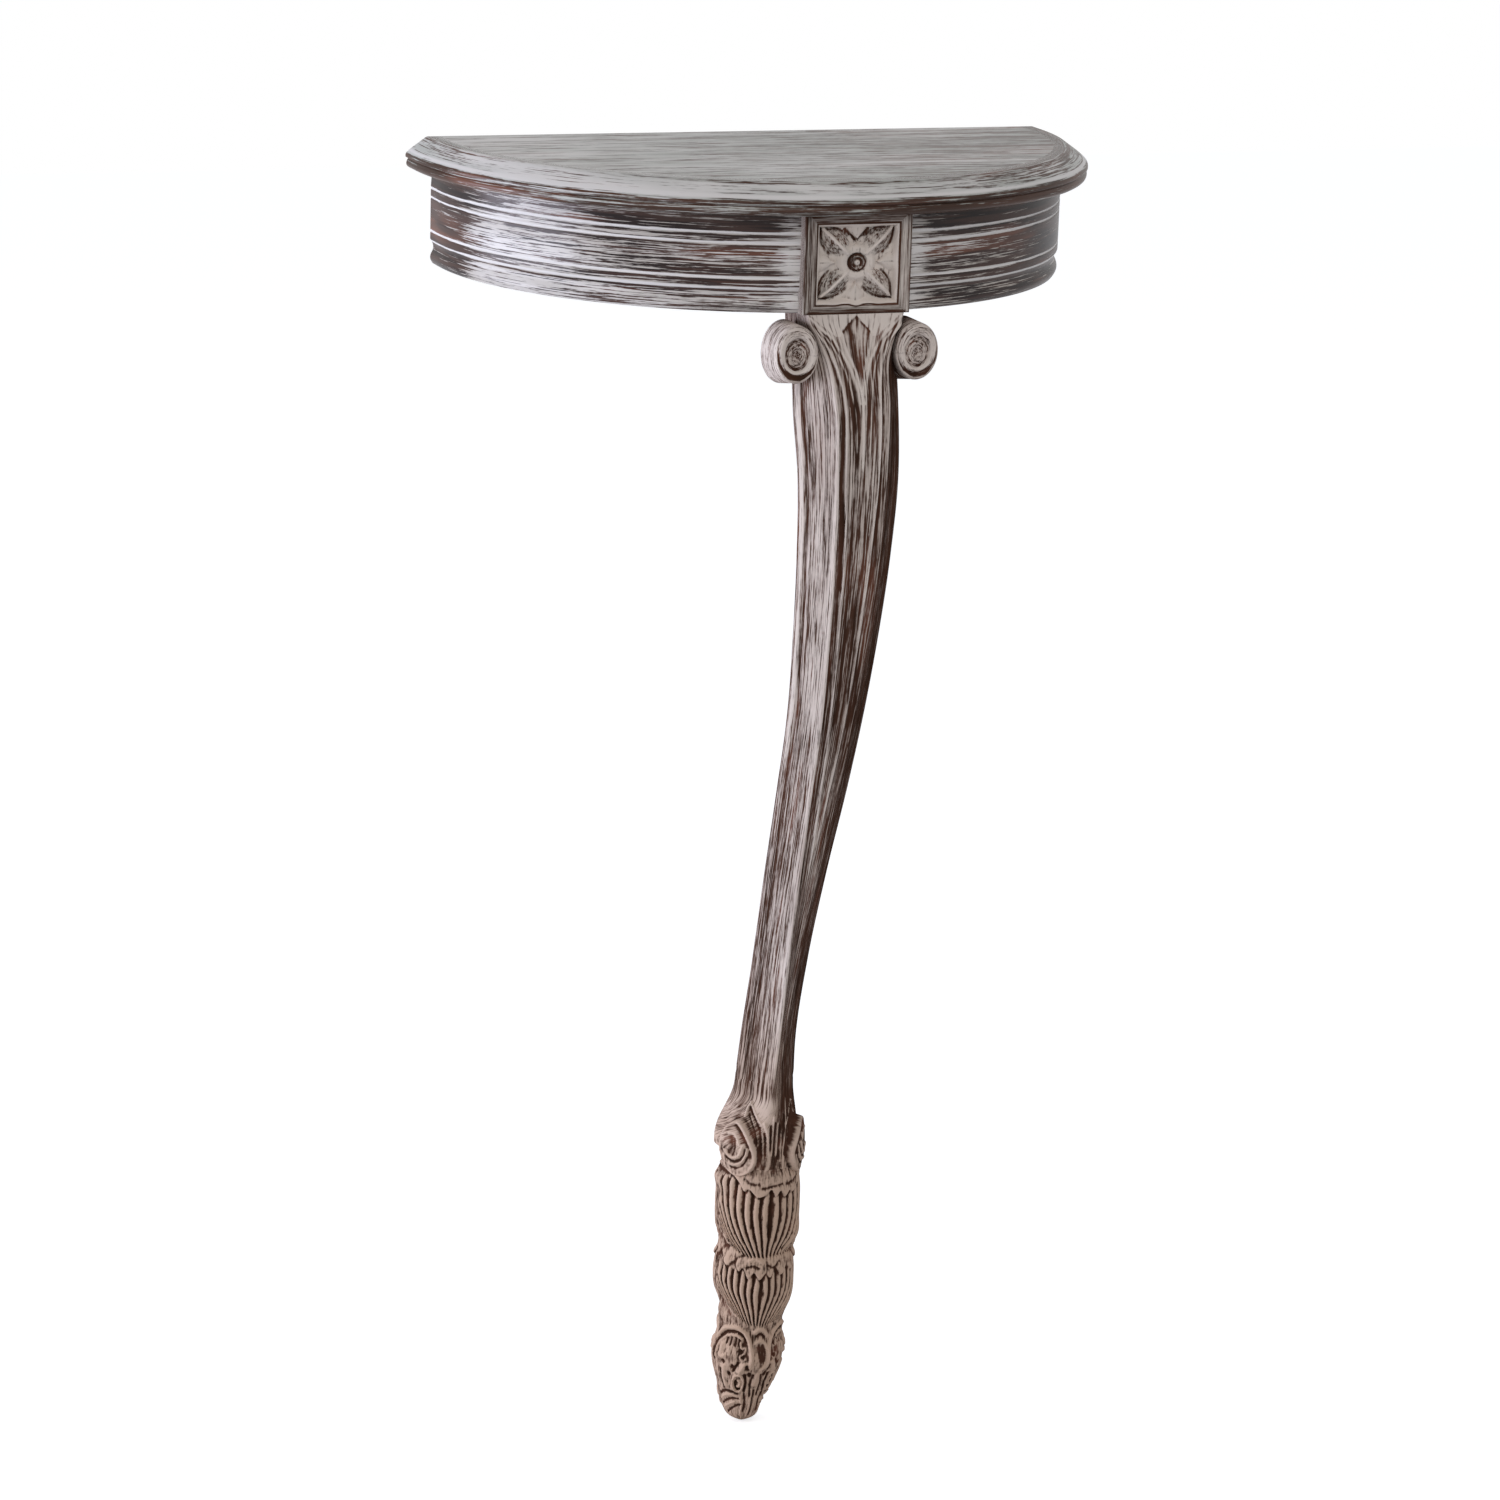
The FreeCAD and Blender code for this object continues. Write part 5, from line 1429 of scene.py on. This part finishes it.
class PIER_OT_joinery(bpy.types.Operator):
    """Finish the rails, blocks, dowels and screws that hold the table together"""
    bl_idname = "pier.joinery"
    bl_label = "Rails and fastenings"

    def execute(self, context):
        finish = finish_of(context)
        timber = plain_timber("planed_mahogany", finish.plain_wood, darkening=0.45, ring=6,
                              roughness=0.6)
        dowel = plain_timber("turned_beech", finish.beech, darkening=0.7, ring=2, roughness=0.55)
        steel = zinc_plate(finish)
        kinds = {"dowel": dowel, "screw": steel, "washer": steel}
        for name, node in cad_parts.items():
            if node.hide_render:
                continue
            material = next((kinds[word] for word in kinds if word in name), timber)
            node.data.materials.clear()
            node.data.materials.append(material)
        return {"FINISHED"}


class PIER_OT_stage(bpy.types.Operator):
    """Make the floor, the lamps and the camera"""
    bl_idname = "pier.stage"
    bl_label = "Stage"

    def execute(self, context):
        build_stage()
        return {"FINISHED"}


OPERATORS = (PIER_OT_stage, PIER_OT_top, PIER_OT_aprons, PIER_OT_rosette, PIER_OT_leg,
             PIER_OT_foot, PIER_OT_joinery)


class VIEW3D_PT_pier_table(bpy.types.Panel):
    """Lists the table's pieces, sizes and colours"""
    bl_label = "Pier table"
    bl_space_type = "VIEW_3D"
    bl_region_type = "UI"
    bl_category = "Pier table"

    def draw(self, context):
        for operator in OPERATORS:
            self.layout.operator(operator.bl_idname)
        for group in (sizes_of(context), finish_of(context)):
            for name in group.bl_rna.properties.keys():
                if name not in ("rna_type", "name"):
                    self.layout.prop(group, name)


CLASSES = (TableSizes, TableFinish, *OPERATORS, VIEW3D_PT_pier_table)


def register():
    """Make the panel, the operators and the settings known."""
    for item in CLASSES:
        bpy.utils.register_class(item)
    bpy.types.Scene.pier_table_sizes = PointerProperty(type=TableSizes)
    bpy.types.Scene.pier_table_finish = PointerProperty(type=TableFinish)


def unregister():
    """Take them away again."""
    del bpy.types.Scene.pier_table_finish
    del bpy.types.Scene.pier_table_sizes
    for item in reversed(CLASSES):
        bpy.utils.unregister_class(item)


def main():
    """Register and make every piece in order."""
    register()
    bpy.ops.pier.stage()
    bpy.ops.pier.top()
    bpy.ops.pier.aprons()
    bpy.ops.pier.rosette()
    bpy.ops.pier.leg()
    bpy.ops.pier.foot()
    bpy.ops.pier.joinery()


if __name__ == "__main__":
    main()
